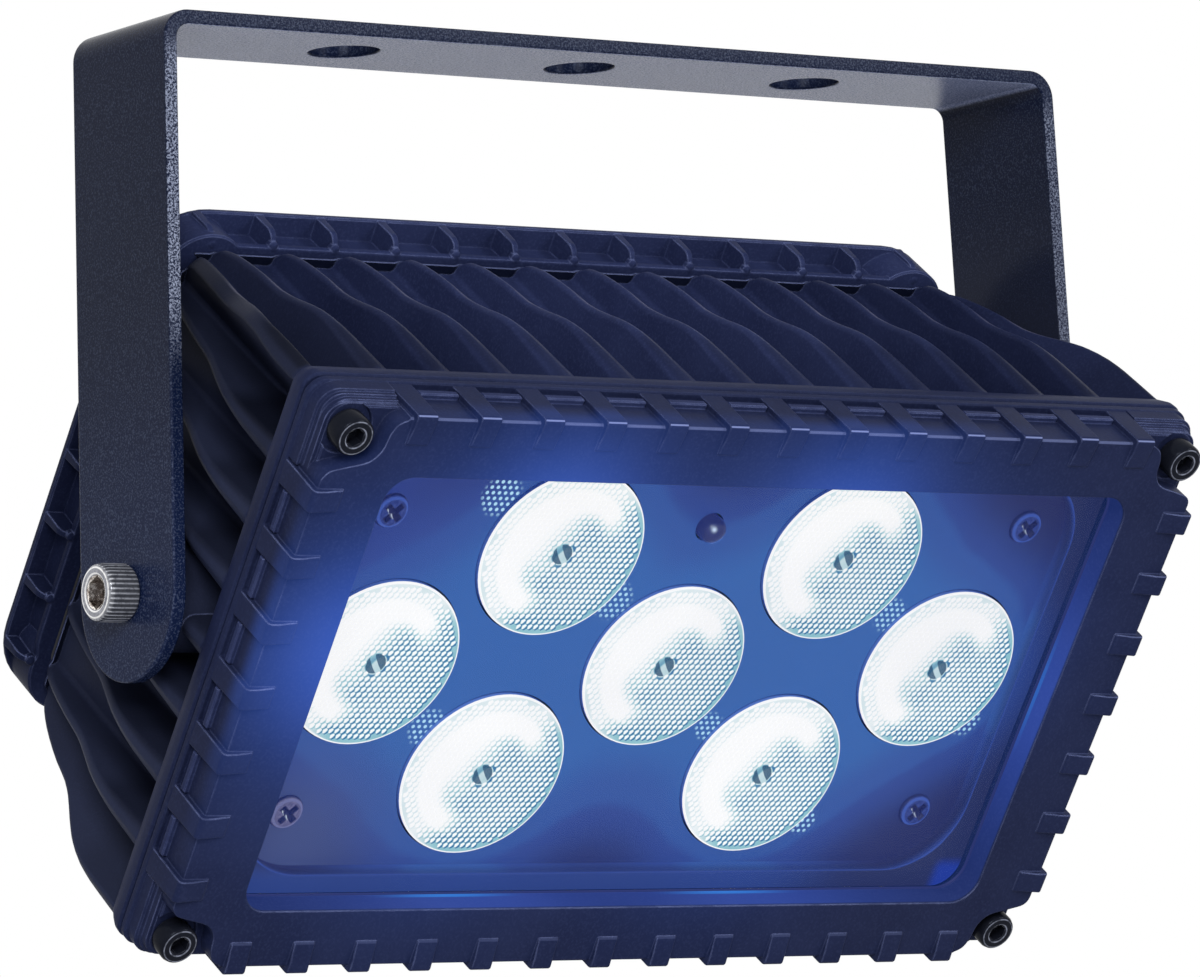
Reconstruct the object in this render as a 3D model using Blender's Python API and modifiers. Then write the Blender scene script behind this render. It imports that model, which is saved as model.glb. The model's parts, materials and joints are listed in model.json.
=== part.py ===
"""Rectangular LED floodlight on a U-shaped hanging bracket.

Metres, +Z up. The origin is the middle of the bracket's top bar, on its upper face, where a clamp
bolts on. The lamp hangs below and tilts about the X line through the two bracket bolts; it looks
towards -Y, nose down by REST_TILT. Everything on the lamp is drawn in the lamp's own axes, with
their origin on the tilt line, and parented to the empty that carries the tilt.
"""

import math

import bmesh
import bpy
from mathutils import Matrix, Vector

MM = 0.001
GAP = 0.3 * MM
FLAT = math.radians(0.05)

# Bracket
STRIP_WIDTH = 30.0 * MM
STRIP_THICKNESS = 2.5 * MM
BAR_HALF_WIDTH = 95.85 * MM
LEG_SPLAY = 0.0254
BEND_RADIUS = 5.0 * MM
AXIS_DROP = 97.6 * MM
LEG_END_DROP = 1.0 * MM
CLAMP_HOLE_RADIUS = 6.25 * MM
CLAMP_HOLE_SPACING = 50.0 * MM
REST_TILT = math.radians(37.0)

# Tilt bolts, M6, and what they clamp
BOLT_HEAD_RADIUS = 5.0 * MM
BOLT_HEAD_HEIGHT = 6.0 * MM
BOLT_RADIUS = 3.0 * MM
BOLT_LENGTH = 16.0 * MM
BOLT_KEY = 5.0 * MM
BOLT_CLEARANCE = 0.4 * MM
PIVOT_BOSS_RADIUS = 10.0 * MM
PIVOT_BOSS_FACE = 93.6 * MM
PIVOT_BOSS_ROOT = 76.0 * MM
PIVOT_HOLE_END = 80.6 * MM
WASHER_RADIUS = 9.0 * MM
WASHER_THICKNESS = 1.3 * MM

# Lamp: half sizes across (X) and up (Z); Y is depth, front negative
BEZEL_HALF = (92.3 * MM, 54.05 * MM)
RIM_HALF = (93.4 * MM, 55.4 * MM)
BEZEL_CORNER = 3.5 * MM
BEZEL_FRONT = -33.0 * MM
BEZEL_BACK = -22.0 * MM
RIM_FRONT = -23.5 * MM
BLOCK_FRONT = -34.0 * MM
BLOCK_WIDTH = 4.8 * MM
BLOCK_PROUD = 1.1 * MM
BLOCK_TAB = 5.1 * MM
PITCH = 12.7 * MM
FINS_ACROSS = 13
FINS_UP = 7
POCKET_FLOOR = -28.5 * MM
CORNER_SCREW = (88.1 * MM, 49.75 * MM)
WINDOW_HALF = (78.7 * MM, 42.7 * MM)
WINDOW_CORNER = 5.0 * MM
GLASS_HALF = (81.0 * MM, 45.0 * MM)
GLASS_FRONT = -28.6 * MM
GLASS_THICKNESS = 3.0 * MM
SEAL_INNER = (77.2 * MM, 41.2 * MM)
SEAL_CORNER = 14.0 * MM
SEAL_BACK = -21.7 * MM

# Housing
FLANGE_FRONT = -21.4 * MM
FLANGE_BACK = -17.5 * MM
HOUSING_BACK = 38.4 * MM
FIN_HALF = (92.7 * MM, 54.5 * MM)
FIN_ROOT = 5.6 * MM
FIN_WAIST = 2.4 * MM
FIN_TIP = 2.0 * MM
FIN_WAIST_DEPTH = 4.0 * MM
FIN_END = 37.3 * MM
PIT_TOP_FLOOR = 43.8 * MM
PIT_SIDE_FLOOR = 81.0 * MM
CORNER_RIB = 3.9 * MM
CAVITY_HALF = (78.6 * MM, 41.6 * MM)
CAVITY_CORNER = 14.0 * MM
BULKHEAD_FRONT = -1.1 * MM
BULKHEAD_BACK = 5.0 * MM
SEAL_GROOVE_DEPTH = 1.0 * MM
SEAL_RING = (84.6 * MM, 48.0 * MM)
SEAL_RING_WIDTH = 2.6 * MM

# Optics
MASK_FRONT = -22.2 * MM
MASK_THICKNESS = 1.0 * MM
MASK_HALF = (76.8 * MM, 40.8 * MM)
LENS_RADIUS = 16.2 * MM
LENS_BASE_RADIUS = 9.5 * MM
LENS_FRONT = -23.0 * MM
LENS_PITCH = 60.3 * MM
LENS_ROW = 22.25 * MM
BOARD_FRONT = -3.0 * MM
BOARD_THICKNESS = 1.6 * MM
MASK_SCREW = (67.8 * MM, 29.9 * MM)
SENSOR = (-0.7 * MM, 27.9 * MM)
SENSOR_RADIUS = 2.5 * MM
MASK_POST_RADIUS = 3.5 * MM
MASK_THREAD_RADIUS = 1.4 * MM
MASK_SCREW_LENGTH = 7.0 * MM

# Driver in the rear chamber
DRIVER_BOARD_HALF = (64.0 * MM, 33.0 * MM)
DRIVER_POST = (58.0 * MM, 28.0 * MM)
DRIVER_POST_RADIUS = 2.5 * MM
DRIVER_FRONT = 12.0 * MM
TRANSFORMER = ((-42.0 * MM, -12.0 * MM), (-13.0 * MM, 13.0 * MM), 18.0 * MM)
CAPACITOR_AT = (28.0 * MM, 4.0 * MM)
CAPACITOR_RADIUS = 9.0 * MM
CAPACITOR_LENGTH = 21.0 * MM
WIRE_WAY_UP = 30.0 * MM
WIRE_WAY_RADIUS = 4.0 * MM

# Rear cover
COVER_FRONT = 39.6 * MM
COVER_BACK = 48.3 * MM
COVER_WALL_HALF = (83.1 * MM, 44.6 * MM)
COVER_LIP_HALF = (84.7 * MM, 46.2 * MM)
COVER_RIM_HALF = (86.5 * MM, 48.0 * MM)
COVER_CORNER = 9.0 * MM
COVER_LIP_BACK = 41.2 * MM
COVER_RIM_FRONT = 46.8 * MM
COVER_PLATE = 2.0 * MM
GUSSET_WIDTH = 2.2 * MM
REAR_SCREW = (76.0 * MM, 39.6 * MM)
LOBE_RADIUS = 8.4 * MM
POST_RADIUS = 5.8 * MM
POST_FRONT = 20.0 * MM
REAR_SEAL_HALF = (81.4 * MM, 44.2 * MM)

# M4 cap screws in the front and rear corners
CAP_HEAD_RADIUS = 3.55 * MM
CAP_HEAD_HEIGHT = 4.0 * MM
CAP_RADIUS = 1.95 * MM
CAP_HOLE_RADIUS = 2.3 * MM
CAP_KEY = 3.0 * MM

# Control panel and cable glands on the rear cover
DISPLAY_UP = 20.0 * MM
DISPLAY_HALF = (17.0 * MM, 7.0 * MM)
DISPLAY_SINK = 1.2 * MM
DIGITS_HALF = (13.0 * MM, 4.0 * MM)
BUTTON_UP = 1.0 * MM
BUTTON_SPACING = 16.0 * MM
BUTTON_RADIUS = 3.6 * MM
BUTTON_PROUD = 1.5 * MM
BUTTON_FLANGE = 1.2 * MM
PANEL_HALF = (36.0 * MM, 16.0 * MM)
PANEL_UP = 12.0 * MM
PANEL_BACK = 42.4 * MM
PANEL_POST = (33.0 * MM, 13.0 * MM)
PANEL_POST_RADIUS = 2.2 * MM
GLAND_UP = -27.0 * MM
GLAND_SPACING = 42.0 * MM
GLAND_HOLE_RADIUS = 6.3 * MM
GLAND_HEX = 17.0 * MM
GLAND_HEX_HEIGHT = 4.0 * MM
GLAND_THREAD = 4.0 * MM
GLAND_CAP_HEIGHT = 10.0 * MM

for leftover in list(bpy.data.objects):
    bpy.data.objects.remove(leftover, do_unlink=True)


def collection(name):
    """A collection under the scene's own."""
    made = bpy.data.collections.new(name)
    bpy.context.scene.collection.children.link(made)
    return made


LAMP = collection("floodlight")
CUTTERS = collection("cutters")


def material(name, colour, roughness, metallic=0.0):
    """A plain finish for one kind of surface."""
    made = bpy.data.materials.new(name)
    made.use_nodes = True
    shader = made.node_tree.nodes["Principled BSDF"]
    shader.inputs["Base Color"].default_value = (*colour, 1.0)
    shader.inputs["Roughness"].default_value = roughness
    shader.inputs["Metallic"].default_value = metallic
    made.diffuse_color = (*colour, 1.0)
    return made


POWDER_COAT = material("black_powder_coat", (0.010, 0.011, 0.018), 0.55)
CAST_COAT = material("navy_cast_coat", (0.012, 0.014, 0.030), 0.45)
STEEL = material("zinc_steel", (0.62, 0.61, 0.58), 0.25, 1.0)
BLACK_STEEL = material("black_oxide_steel", (0.05, 0.05, 0.06), 0.35, 1.0)
RUBBER = material("black_rubber", (0.015, 0.015, 0.015), 0.75)
FIBRE = material("fibre_washer", (0.10, 0.05, 0.03), 0.8)
GLASS = material("clear_glass", (0.85, 0.90, 0.92), 0.05)
LENS = material("moulded_lens", (0.80, 0.88, 0.95), 0.15)
MASK = material("navy_mask_paint", (0.010, 0.030, 0.200), 0.5)
LED = material("led_emitter", (0.90, 0.92, 0.85), 0.3)
BOARD = material("board_lacquer", (0.02, 0.12, 0.05), 0.45)
DARK_PLASTIC = material("dark_plastic", (0.02, 0.02, 0.025), 0.4)
COPPER = material("wound_copper", (0.45, 0.17, 0.07), 0.35, 1.0)
SLEEVE = material("capacitor_sleeve", (0.02, 0.03, 0.10), 0.35)

# How each extrusion axis lies: the outline's own x, its own y, then the way it is extruded
ALONG = {
    "Y": Matrix(((1, 0, 0), (0, 0, -1), (0, 1, 0))),
    "X": Matrix(((0, 0, 1), (1, 0, 0), (0, 1, 0))),
    "Z": Matrix(((1, 0, 0), (0, 1, 0), (0, 0, 1))),
}

tilt_axis = bpy.data.objects.new("tilt_axis", None)
tilt_axis.location = (0.0, 0.0, -AXIS_DROP)
tilt_axis.rotation_euler = (REST_TILT, 0.0, 0.0)
LAMP.objects.link(tilt_axis)


def place(name, mesh, finish=None, parent=tilt_axis, location=(0, 0, 0), group=LAMP):
    """Puts a mesh in the model as a named object, on the lamp unless told otherwise."""
    made = bpy.data.objects.new(name, mesh)
    group.objects.link(made)
    made.parent = parent
    made.location = location
    if finish is not None:
        mesh.materials.clear()
        mesh.materials.append(finish)
    else:
        made.hide_render = True
        made.display_type = "WIRE"
    return made


def evaluated_mesh(thing):
    """The mesh of an object with its modifiers, in its parent's axes."""
    bpy.context.view_layer.update()
    seen = thing.evaluated_get(bpy.context.evaluated_depsgraph_get())
    mesh = bpy.data.meshes.new_from_object(seen)
    mesh.transform(thing.matrix_basis)
    return mesh


def prism(name, outlines, axis, low, high):
    """Outlines (the first outside, the rest holes) extruded along X, Y or Z from low to high."""
    curve = bpy.data.curves.new(name, "CURVE")
    curve.dimensions = "2D"
    curve.fill_mode = "BOTH"
    curve.extrude = (high - low) / 2
    for outline in outlines:
        spline = curve.splines.new("POLY")
        spline.points.add(len(outline) - 1)
        for point, (across, up) in zip(spline.points, outline):
            point.co = (across, up, 0.0, 1.0)
        spline.use_cyclic_u = True
    drawn = bpy.data.objects.new(name, curve)
    CUTTERS.objects.link(drawn)
    turn = ALONG[axis]
    middle = turn @ Vector((0, 0, 1)) * (low + high) / 2
    if axis == "Y":
        middle = -middle
    drawn.matrix_basis = Matrix.Translation(middle) @ turn.to_4x4()
    mesh = evaluated_mesh(drawn)
    bpy.data.objects.remove(drawn)
    edit = bmesh.new()
    edit.from_mesh(mesh)
    bmesh.ops.remove_doubles(edit, verts=edit.verts, dist=0.001 * MM)
    if len(outlines) == 1:
        bmesh.ops.dissolve_limit(edit, angle_limit=FLAT, verts=edit.verts, edges=edit.edges)
    bmesh.ops.recalc_face_normals(edit, faces=edit.faces)
    edit.to_mesh(mesh)
    edit.free()
    return mesh


def stacked(name, stations):
    """Rounded rectangles at depths along Y, joined front to back; two at one depth make a step."""
    mesh = bpy.data.meshes.new(name)
    edit = bmesh.new()
    rings = [[edit.verts.new((x, depth, z)) for x, z in round_rect(half, radius)]
             for depth, half, radius in stations]
    for ring, after in zip(rings, rings[1:]):
        for i, vert in enumerate(ring):
            j = (i + 1) % len(ring)
            edit.faces.new((vert, ring[j], after[j], after[i]))
    edit.faces.new(rings[0])
    edit.faces.new(rings[-1])
    bmesh.ops.recalc_face_normals(edit, faces=edit.faces)
    edit.to_mesh(mesh)
    edit.free()
    return mesh


def turned(name, profile, axis, steps=24, start=(0, 0, 0)):
    """A (radius, height) profile, listed top to bottom, turned about X, Y or Z.

    Height runs along +X, +Z or, for Y, along -Y, which is towards the front of the lamp."""
    mesh = bpy.data.meshes.new(name)
    edges = [(i, i + 1) for i in range(len(profile) - 1)]
    if profile[0] == profile[-1]:
        profile = profile[:-1]
        edges[-1] = (len(profile) - 1, 0)
    mesh.from_pydata([(radius, 0, height) for radius, height in profile], edges, [])
    spun = bpy.data.objects.new(name, mesh)
    CUTTERS.objects.link(spun)
    screw = spun.modifiers.new("turn", "SCREW")
    screw.steps = steps
    screw.render_steps = steps
    screw.use_merge_vertices = True
    screw.merge_threshold = 0.001 * MM
    screw.use_smooth_shade = True
    spun.matrix_basis = Matrix.Translation(start) @ ALONG[axis].to_4x4()
    result = evaluated_mesh(spun)
    bpy.data.objects.remove(spun)
    return result


def cylinder(name, radius, axis, low, high, centre=(0, 0), steps=24):
    """A plain round bar along X, Y or Z, centred on its other two coordinates."""
    outline = [(centre[0] + radius * math.cos(2 * math.pi * i / steps),
                centre[1] + radius * math.sin(2 * math.pi * i / steps)) for i in range(steps)]
    return prism(name, [outline], axis, low, high)


def block(name, low, high):
    """A box between two corners."""
    mesh = bpy.data.meshes.new(name)
    edit = bmesh.new()
    bmesh.ops.create_cube(edit, size=1.0)
    for vert in edit.verts:
        for i in range(3):
            vert.co[i] = low[i] if vert.co[i] < 0 else high[i]
    edit.to_mesh(mesh)
    edit.free()
    return mesh


def round_rect(half, radius, steps=4):
    """Points of a rectangle with rounded corners, centred on the origin."""
    points = []
    for corner, (side, up) in enumerate(((1, 1), (-1, 1), (-1, -1), (1, -1))):
        centre = (side * (half[0] - radius), up * (half[1] - radius))
        for i in range(steps + 1):
            angle = math.radians(90 * corner + 90 * i / steps)
            points.append((centre[0] + radius * math.cos(angle), centre[1] + radius * math.sin(angle)))
    return points


def rounded_path(corners, radius, steps=5):
    """An open path whose inner corners are arcs."""
    points = [Vector(corners[0])]
    for before, corner, after in zip(corners, corners[1:], corners[2:]):
        corner = Vector(corner)
        back = (Vector(before) - corner).normalized()
        ahead = (Vector(after) - corner).normalized()
        half_angle = back.angle(ahead) / 2
        centre = corner + (back + ahead).normalized() * radius / math.sin(half_angle)
        first = corner + back * radius / math.tan(half_angle) - centre
        last = corner + ahead * radius / math.tan(half_angle) - centre
        for i in range(steps + 1):
            points.append(centre + first.normalized().slerp(last.normalized(), i / steps) * radius)
    points.append(Vector(corners[-1]))
    return [tuple(point) for point in points]


def boolean(target, tool, operation="DIFFERENCE"):
    """Cuts, joins or meets the target with a tool mesh."""
    change = target.modifiers.new(operation.lower(), "BOOLEAN")
    change.operation = operation
    change.object = place(f"{target.name}_{tool.name}", tool, parent=target.parent, group=CUTTERS)
    return target


def together(name, meshes):
    """Loose shapes that don't touch, as one mesh, so that one Boolean uses them all."""
    edit = bmesh.new()
    for mesh in meshes:
        edit.from_mesh(mesh)
        bpy.data.meshes.remove(mesh)
    joined = bpy.data.meshes.new(name)
    edit.to_mesh(joined)
    edit.free()
    return joined


def finished(thing):
    """The object's own mesh with its Booleans carried out, for copies that share it."""
    mesh = evaluated_mesh(thing)
    bpy.data.objects.remove(thing)
    return mesh


def smooth(mesh, angle=40.0):
    """Shades round faces smooth and keeps sharp edges."""
    mesh.shade_smooth()
    mesh.set_sharp_from_angle(angle=math.radians(angle))
    return mesh


def corners(spot):
    """The four mirror images of a place, with a name for each."""
    for up_name, up in (("top", 1), ("bottom", -1)):
        for side_name, side in (("left", -1), ("right", 1)):
            yield f"{up_name}_{side_name}", side, up, (side * spot[0], up * spot[1])


def row(count, pitch):
    """Evenly spaced places about the middle."""
    return [(i - (count - 1) / 2) * pitch for i in range(count)]


def leg_outside(drop):
    """How far out a leg's outer face is at a depth below the bar's top."""
    return BAR_HALF_WIDTH + LEG_SPLAY * drop


def make_bracket():
    """Flat strip bent to a U, with splayed legs, round leg ends and three clamp holes."""
    reach = AXIS_DROP + LEG_END_DROP + STRIP_WIDTH / 2 + 5 * MM
    outer = [(-leg_outside(reach), -reach), (-BAR_HALF_WIDTH, 0.0),
             (BAR_HALF_WIDTH, 0.0), (leg_outside(reach), -reach)]
    inset = STRIP_THICKNESS * math.hypot(1.0, LEG_SPLAY)
    inner = [(side * (leg_outside(drop) - inset), -drop)
             for side, drop in ((-1, reach), (-1, STRIP_THICKNESS), (1, STRIP_THICKNESS), (1, reach))]
    outline = rounded_path(outer, BEND_RADIUS) + rounded_path(inner, BEND_RADIUS - STRIP_THICKNESS)[::-1]
    half = STRIP_WIDTH / 2
    bracket = place("bracket", prism("strip", [outline], "Y", -half, half), POWDER_COAT, parent=None)
    bottom = AXIS_DROP + LEG_END_DROP
    arc = [(half * math.cos(math.pi * i / 14), -bottom - half * math.sin(math.pi * i / 14))
           for i in range(15)]
    above = 5 * MM
    side_view = [(half + MM, above), (half + MM, -bottom + above)] + arc
    side_view += [(-half - MM, -bottom + above), (-half - MM, above)]
    wide = leg_outside(reach) + above
    boolean(bracket, prism("side_view", [side_view], "X", -wide, wide), "INTERSECT")
    for i, across in enumerate(row(3, CLAMP_HOLE_SPACING)):
        hole = cylinder(f"clamp_hole_{i}", CLAMP_HOLE_RADIUS, "Z", -above, above, (across, 0.0), steps=24)
        boolean(bracket, hole)
    pivot = cylinder("pivot_hole", BOLT_RADIUS + BOLT_CLEARANCE, "X", -wide, wide, (0.0, -AXIS_DROP))
    boolean(bracket, pivot)


def cap_screw_mesh(name, head_radius, head_height, radius, length, key, axis, steps=12):
    """Socket cap screw: seat at 0, head towards the height axis, shank the other way."""
    chamfer = 0.4 * MM
    profile = [(0.0, head_height), (head_radius - chamfer, head_height),
               (head_radius, head_height - chamfer), (head_radius, 0.0), (radius, 0.0),
               (radius, -length), (0.0, -length)]
    body = place(name, turned(name, profile, axis, steps), STEEL, parent=None)
    corner = key / math.sqrt(3)
    flats = [(corner * math.cos(math.pi * i / 3), corner * math.sin(math.pi * i / 3)) for i in range(6)]
    top = head_height + MM
    low, high = head_height * 0.45, top
    if axis == "Y":
        low, high = -top, -head_height * 0.45
    boolean(body, prism(f"{name}_socket", [flats], axis, low, high))
    return finished(body)


def make_tilt_bolts():
    """An M6 bolt and a fibre washer at each end of the tilt line."""
    mesh = cap_screw_mesh("bolt", BOLT_HEAD_RADIUS, BOLT_HEAD_HEIGHT, BOLT_RADIUS,
                          BOLT_LENGTH, BOLT_KEY, "X")
    seat = leg_outside(AXIS_DROP) + GAP
    hole = BOLT_RADIUS + BOLT_CLEARANCE
    half = WASHER_THICKNESS / 2
    ring = [(hole, half), (WASHER_RADIUS, half), (WASHER_RADIUS, -half), (hole, -half), (hole, half)]
    washer = turned("washer", ring, "X", steps=16)
    washer_at = PIVOT_BOSS_FACE + GAP + half
    for name, side in (("left", -1), ("right", 1)):
        bolt = place(f"bracket_bolt_{name}", smooth(mesh), STEEL, location=(side * seat, 0, 0))
        bolt.rotation_euler = (0, 0, 0 if side > 0 else math.pi)
        place(f"clamp_washer_{name}", smooth(washer), FIBRE, location=(side * washer_at, 0, 0))


def make_bezel():
    """Front frame: castellated edge, cut-away corners for the screws, window and glass rabbet."""
    bezel = place("front_bezel", stacked("bezel", [
        (BEZEL_FRONT, BEZEL_HALF, BEZEL_CORNER), (RIM_FRONT, BEZEL_HALF, BEZEL_CORNER),
        (RIM_FRONT, RIM_HALF, BEZEL_CORNER), (BEZEL_BACK, RIM_HALF, BEZEL_CORNER)]), CAST_COAT)
    blocks = []
    chamfer = 0.8 * MM
    for edge, half in enumerate((BEZEL_HALF[1], BEZEL_HALF[0])):
        outside = half + BLOCK_PROUD
        inside = half - 1.5 * MM
        outline = [(RIM_FRONT + 0.4 * MM, inside), (RIM_FRONT + 0.4 * MM, outside),
                   (BLOCK_FRONT + chamfer, outside), (BLOCK_FRONT, outside - chamfer),
                   (BLOCK_FRONT, half - BLOCK_TAB * 0.7), (BEZEL_FRONT + 0.2 * MM, half - BLOCK_TAB)]
        for place_at in row((FINS_ACROSS, FINS_UP)[edge], PITCH):
            for side in (-1, 1):
                shape = [(depth, side * out) for depth, out in outline]
                low, high = place_at - BLOCK_WIDTH / 2, place_at + BLOCK_WIDTH / 2
                if edge == 0:
                    blocks.append(prism("long_edge_block", [shape], "X", low, high))
                else:
                    swapped = [(out, depth) for depth, out in shape]
                    blocks.append(prism("short_edge_block", [swapped], "Z", low, high))
    boolean(bezel, together("bezel_blocks", blocks), "UNION")
    boolean(bezel, prism("window", [round_rect(WINDOW_HALF, WINDOW_CORNER)], "Y",
                         BLOCK_FRONT - MM, BEZEL_BACK + MM))
    rabbet_half = (GLASS_HALF[0] + 0.4 * MM, GLASS_HALF[1] + 0.4 * MM)
    boolean(bezel, prism("rabbet", [round_rect(rabbet_half, WINDOW_CORNER)], "Y",
                         GLASS_FRONT - GAP, BEZEL_BACK + MM))
    pockets = []
    for name, side, up, (across, height) in corners(CORNER_SCREW):
        pockets.append(prism(f"corner_pocket_{name}", [corner_pocket(side, up)], "Y",
                             BLOCK_FRONT - MM, POCKET_FLOOR))
    boolean(bezel, together("bezel_pockets", pockets))
    holes = [cylinder(f"screw_hole_{name}", CAP_HOLE_RADIUS, "Y", POCKET_FLOOR - MM, BEZEL_BACK + MM,
                      centre, steps=8) for name, side, up, centre in corners(CORNER_SCREW)]
    boolean(bezel, together("bezel_holes", holes))


def corner_pocket(side, up):
    """Outline of one corner's cut-away: a round bay about the screw that flares to both edges."""
    bay = 5.4 * MM
    across, height = CORNER_SCREW
    end_across = (FINS_ACROSS - 1) / 2 * PITCH + BLOCK_WIDTH / 2 + 0.6 * MM
    end_up = (FINS_UP - 1) / 2 * PITCH + BLOCK_WIDTH / 2 + 0.6 * MM
    outside = 5 * MM
    points = [(end_across, RIM_HALF[1] + outside), (end_across, RIM_HALF[1] - 0.8 * MM)]
    for i in range(7):
        angle = math.radians(150 + 150 * i / 6)
        points.append((across + bay * math.cos(angle), height + bay * math.sin(angle)))
    points += [(RIM_HALF[0] - 0.9 * MM, end_up), (RIM_HALF[0] + outside, end_up),
               (RIM_HALF[0] + outside, RIM_HALF[1] + outside)]
    return [(side * x, up * z) for x, z in points]


def housing_blank():
    """Solid outside of the housing: a flange, then the wavy line that the fins' edges follow.

    Each station is a depth with how far the edge lies outside the fins' half size, up and across."""
    line = ((-21.4, 0.9, 0.7), (-17.5, 0.9, 0.7), (-17.5, 0.0, 0.0), (-8.0, 0.0, -0.3),
            (4.0, -0.3, -1.6), (9.0, -2.1, -3.4), (14.0, -3.7, -4.8),
            (33.0, -6.2, -8.4), (36.0, -7.5, -9.6), (37.6, -9.5, -10.5), (38.4, -9.5, -10.5))
    stations = []
    for depth, above, beside in line:
        half = (FIN_HALF[0] + beside * MM, FIN_HALF[1] + above * MM)
        stations.append((depth * MM, half, (3.0 + 0.09 * max(0.0, depth + 17.5)) * MM))
    return stacked("housing_blank", stations)


def fin_pits():
    """What is cut away between the fins on all four sides."""
    outline = [(-(PITCH - FIN_ROOT) / 2, FLANGE_BACK), ((PITCH - FIN_ROOT) / 2, FLANGE_BACK),
               ((PITCH - FIN_WAIST) / 2, FIN_WAIST_DEPTH), ((PITCH - FIN_TIP) / 2, FIN_END),
               (-(PITCH - FIN_TIP) / 2, FIN_END), (-(PITCH - FIN_WAIST) / 2, FIN_WAIST_DEPTH)]
    beyond = 10 * MM
    for side in (-1, 1):
        for middle in row(FINS_ACROSS - 1, PITCH):
            low, high = sorted((side * PIT_TOP_FLOOR, side * (FIN_HALF[1] + beyond)))
            yield prism("pit_across", [[(middle + x, y) for x, y in outline]], "Z", low, high)
        for middle in row(FINS_UP - 1, PITCH):
            low, high = sorted((side * PIT_SIDE_FLOOR, side * (FIN_HALF[0] + beyond)))
            yield prism("pit_up", [[(y, middle + z) for z, y in outline]], "X", low, high)
    last_across = (FINS_ACROSS - 1) / 2 * PITCH + FIN_WAIST / 2
    last_up = (FINS_UP - 1) / 2 * PITCH + FIN_WAIST / 2
    diagonal = FIN_HALF[0] - FIN_HALF[1]
    half_rib = CORNER_RIB / math.sqrt(2)
    for name, side, up, spot in corners((1, 1)):
        top = FIN_HALF[1] + beyond
        floor_across = PIT_TOP_FLOOR + diagonal - half_rib
        above = [(last_across, PIT_TOP_FLOOR), (max(floor_across, last_across + MM), PIT_TOP_FLOOR),
                 (top + diagonal - half_rib, top), (last_across, top)]
        out = FIN_HALF[0] + beyond
        floor_up = PIT_SIDE_FLOOR - diagonal - half_rib
        beside = [(PIT_SIDE_FLOOR, last_up), (PIT_SIDE_FLOOR, max(floor_up, last_up + MM)),
                  (out, out - diagonal - half_rib), (out, last_up)]
        for shape in (above, beside):
            yield prism(f"corner_pit_{name}", [[(side * x, up * z) for x, z in shape]], "Y",
                        FLANGE_BACK, FIN_END)


def make_housing():
    """Cast heat sink: flange, wavy fins on four sides, two chambers either side of a bulkhead."""
    housing = place("heat_sink_housing", housing_blank(), CAST_COAT)
    boolean(housing, together("fin_pits", list(fin_pits())))
    bosses = [cylinder(f"pivot_boss_{side}", PIVOT_BOSS_RADIUS, "X",
                       *sorted((side * PIVOT_BOSS_ROOT, side * PIVOT_BOSS_FACE)), steps=20)
              for side in (-1, 1)]
    boolean(housing, together("pivot_bosses", bosses), "UNION")
    chamber = round_rect(CAVITY_HALF, CAVITY_CORNER)
    boolean(housing, prism("front_chamber", [chamber], "Y", FLANGE_FRONT - MM, BULKHEAD_FRONT))
    boolean(housing, prism("rear_chamber", [chamber], "Y", BULKHEAD_BACK, HOUSING_BACK + MM))
    supports = [cylinder(f"pivot_root_{side}", PIVOT_BOSS_RADIUS - 0.5 * MM, "X",
                         *sorted((side * PIVOT_BOSS_ROOT, side * (PIT_SIDE_FLOOR - MM))), steps=16)
                for side in (-1, 1)]
    for name, side, up, centre in corners(REAR_SCREW):
        supports.append(cylinder(f"screw_post_{name}", POST_RADIUS, "Y", POST_FRONT,
                                 HOUSING_BACK - 0.05 * MM, centre, steps=16))
    for name, side, up, centre in corners(MASK_SCREW):
        supports.append(cylinder(f"mask_post_{name}", MASK_POST_RADIUS, "Y",
                                 MASK_FRONT + MASK_THICKNESS + GAP, BULKHEAD_FRONT + MM, centre, steps=8))
    for name, side, up, centre in corners(DRIVER_POST):
        supports.append(cylinder(f"driver_post_{name}", DRIVER_POST_RADIUS, "Y", BULKHEAD_BACK - MM,
                                 DRIVER_FRONT - GAP, centre, steps=8))
    boolean(housing, together("supports", supports), "UNION")
    holes = []
    for side in (-1, 1):
        ends = sorted((side * PIVOT_HOLE_END, side * (PIVOT_BOSS_FACE + MM)))
        holes.append(cylinder(f"bolt_hole_{side}", BOLT_RADIUS + GAP, "X", *ends, steps=14))
    for name, side, up, centre in corners(CORNER_SCREW):
        holes.append(cylinder(f"bezel_screw_hole_{name}", CAP_HOLE_RADIUS, "Y", FLANGE_FRONT - MM,
                              FLANGE_BACK - 0.5 * MM, centre, steps=8))
    for name, side, up, centre in corners(REAR_SCREW):
        holes.append(cylinder(f"rear_screw_hole_{name}", CAP_HOLE_RADIUS, "Y", POST_FRONT + 6 * MM,
                              HOUSING_BACK + MM, centre, steps=8))
    for name, side, up, centre in corners(MASK_SCREW):
        holes.append(cylinder(f"mask_screw_hole_{name}", MASK_THREAD_RADIUS + GAP, "Y", MASK_FRONT,
                              MASK_FRONT + MASK_SCREW_LENGTH + 3 * MM, centre, steps=8))
    holes.append(cylinder("wire_way", WIRE_WAY_RADIUS, "Y", BULKHEAD_FRONT - MM, BULKHEAD_BACK + MM,
                          (0.0, WIRE_WAY_UP), steps=10))
    boolean(housing, together("housing_holes", holes))
    groove = seal_ring_outlines(0.3 * MM)
    boolean(housing, prism("seal_groove", groove, "Y", FLANGE_FRONT - MM, FLANGE_FRONT + SEAL_GROOVE_DEPTH))


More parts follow.
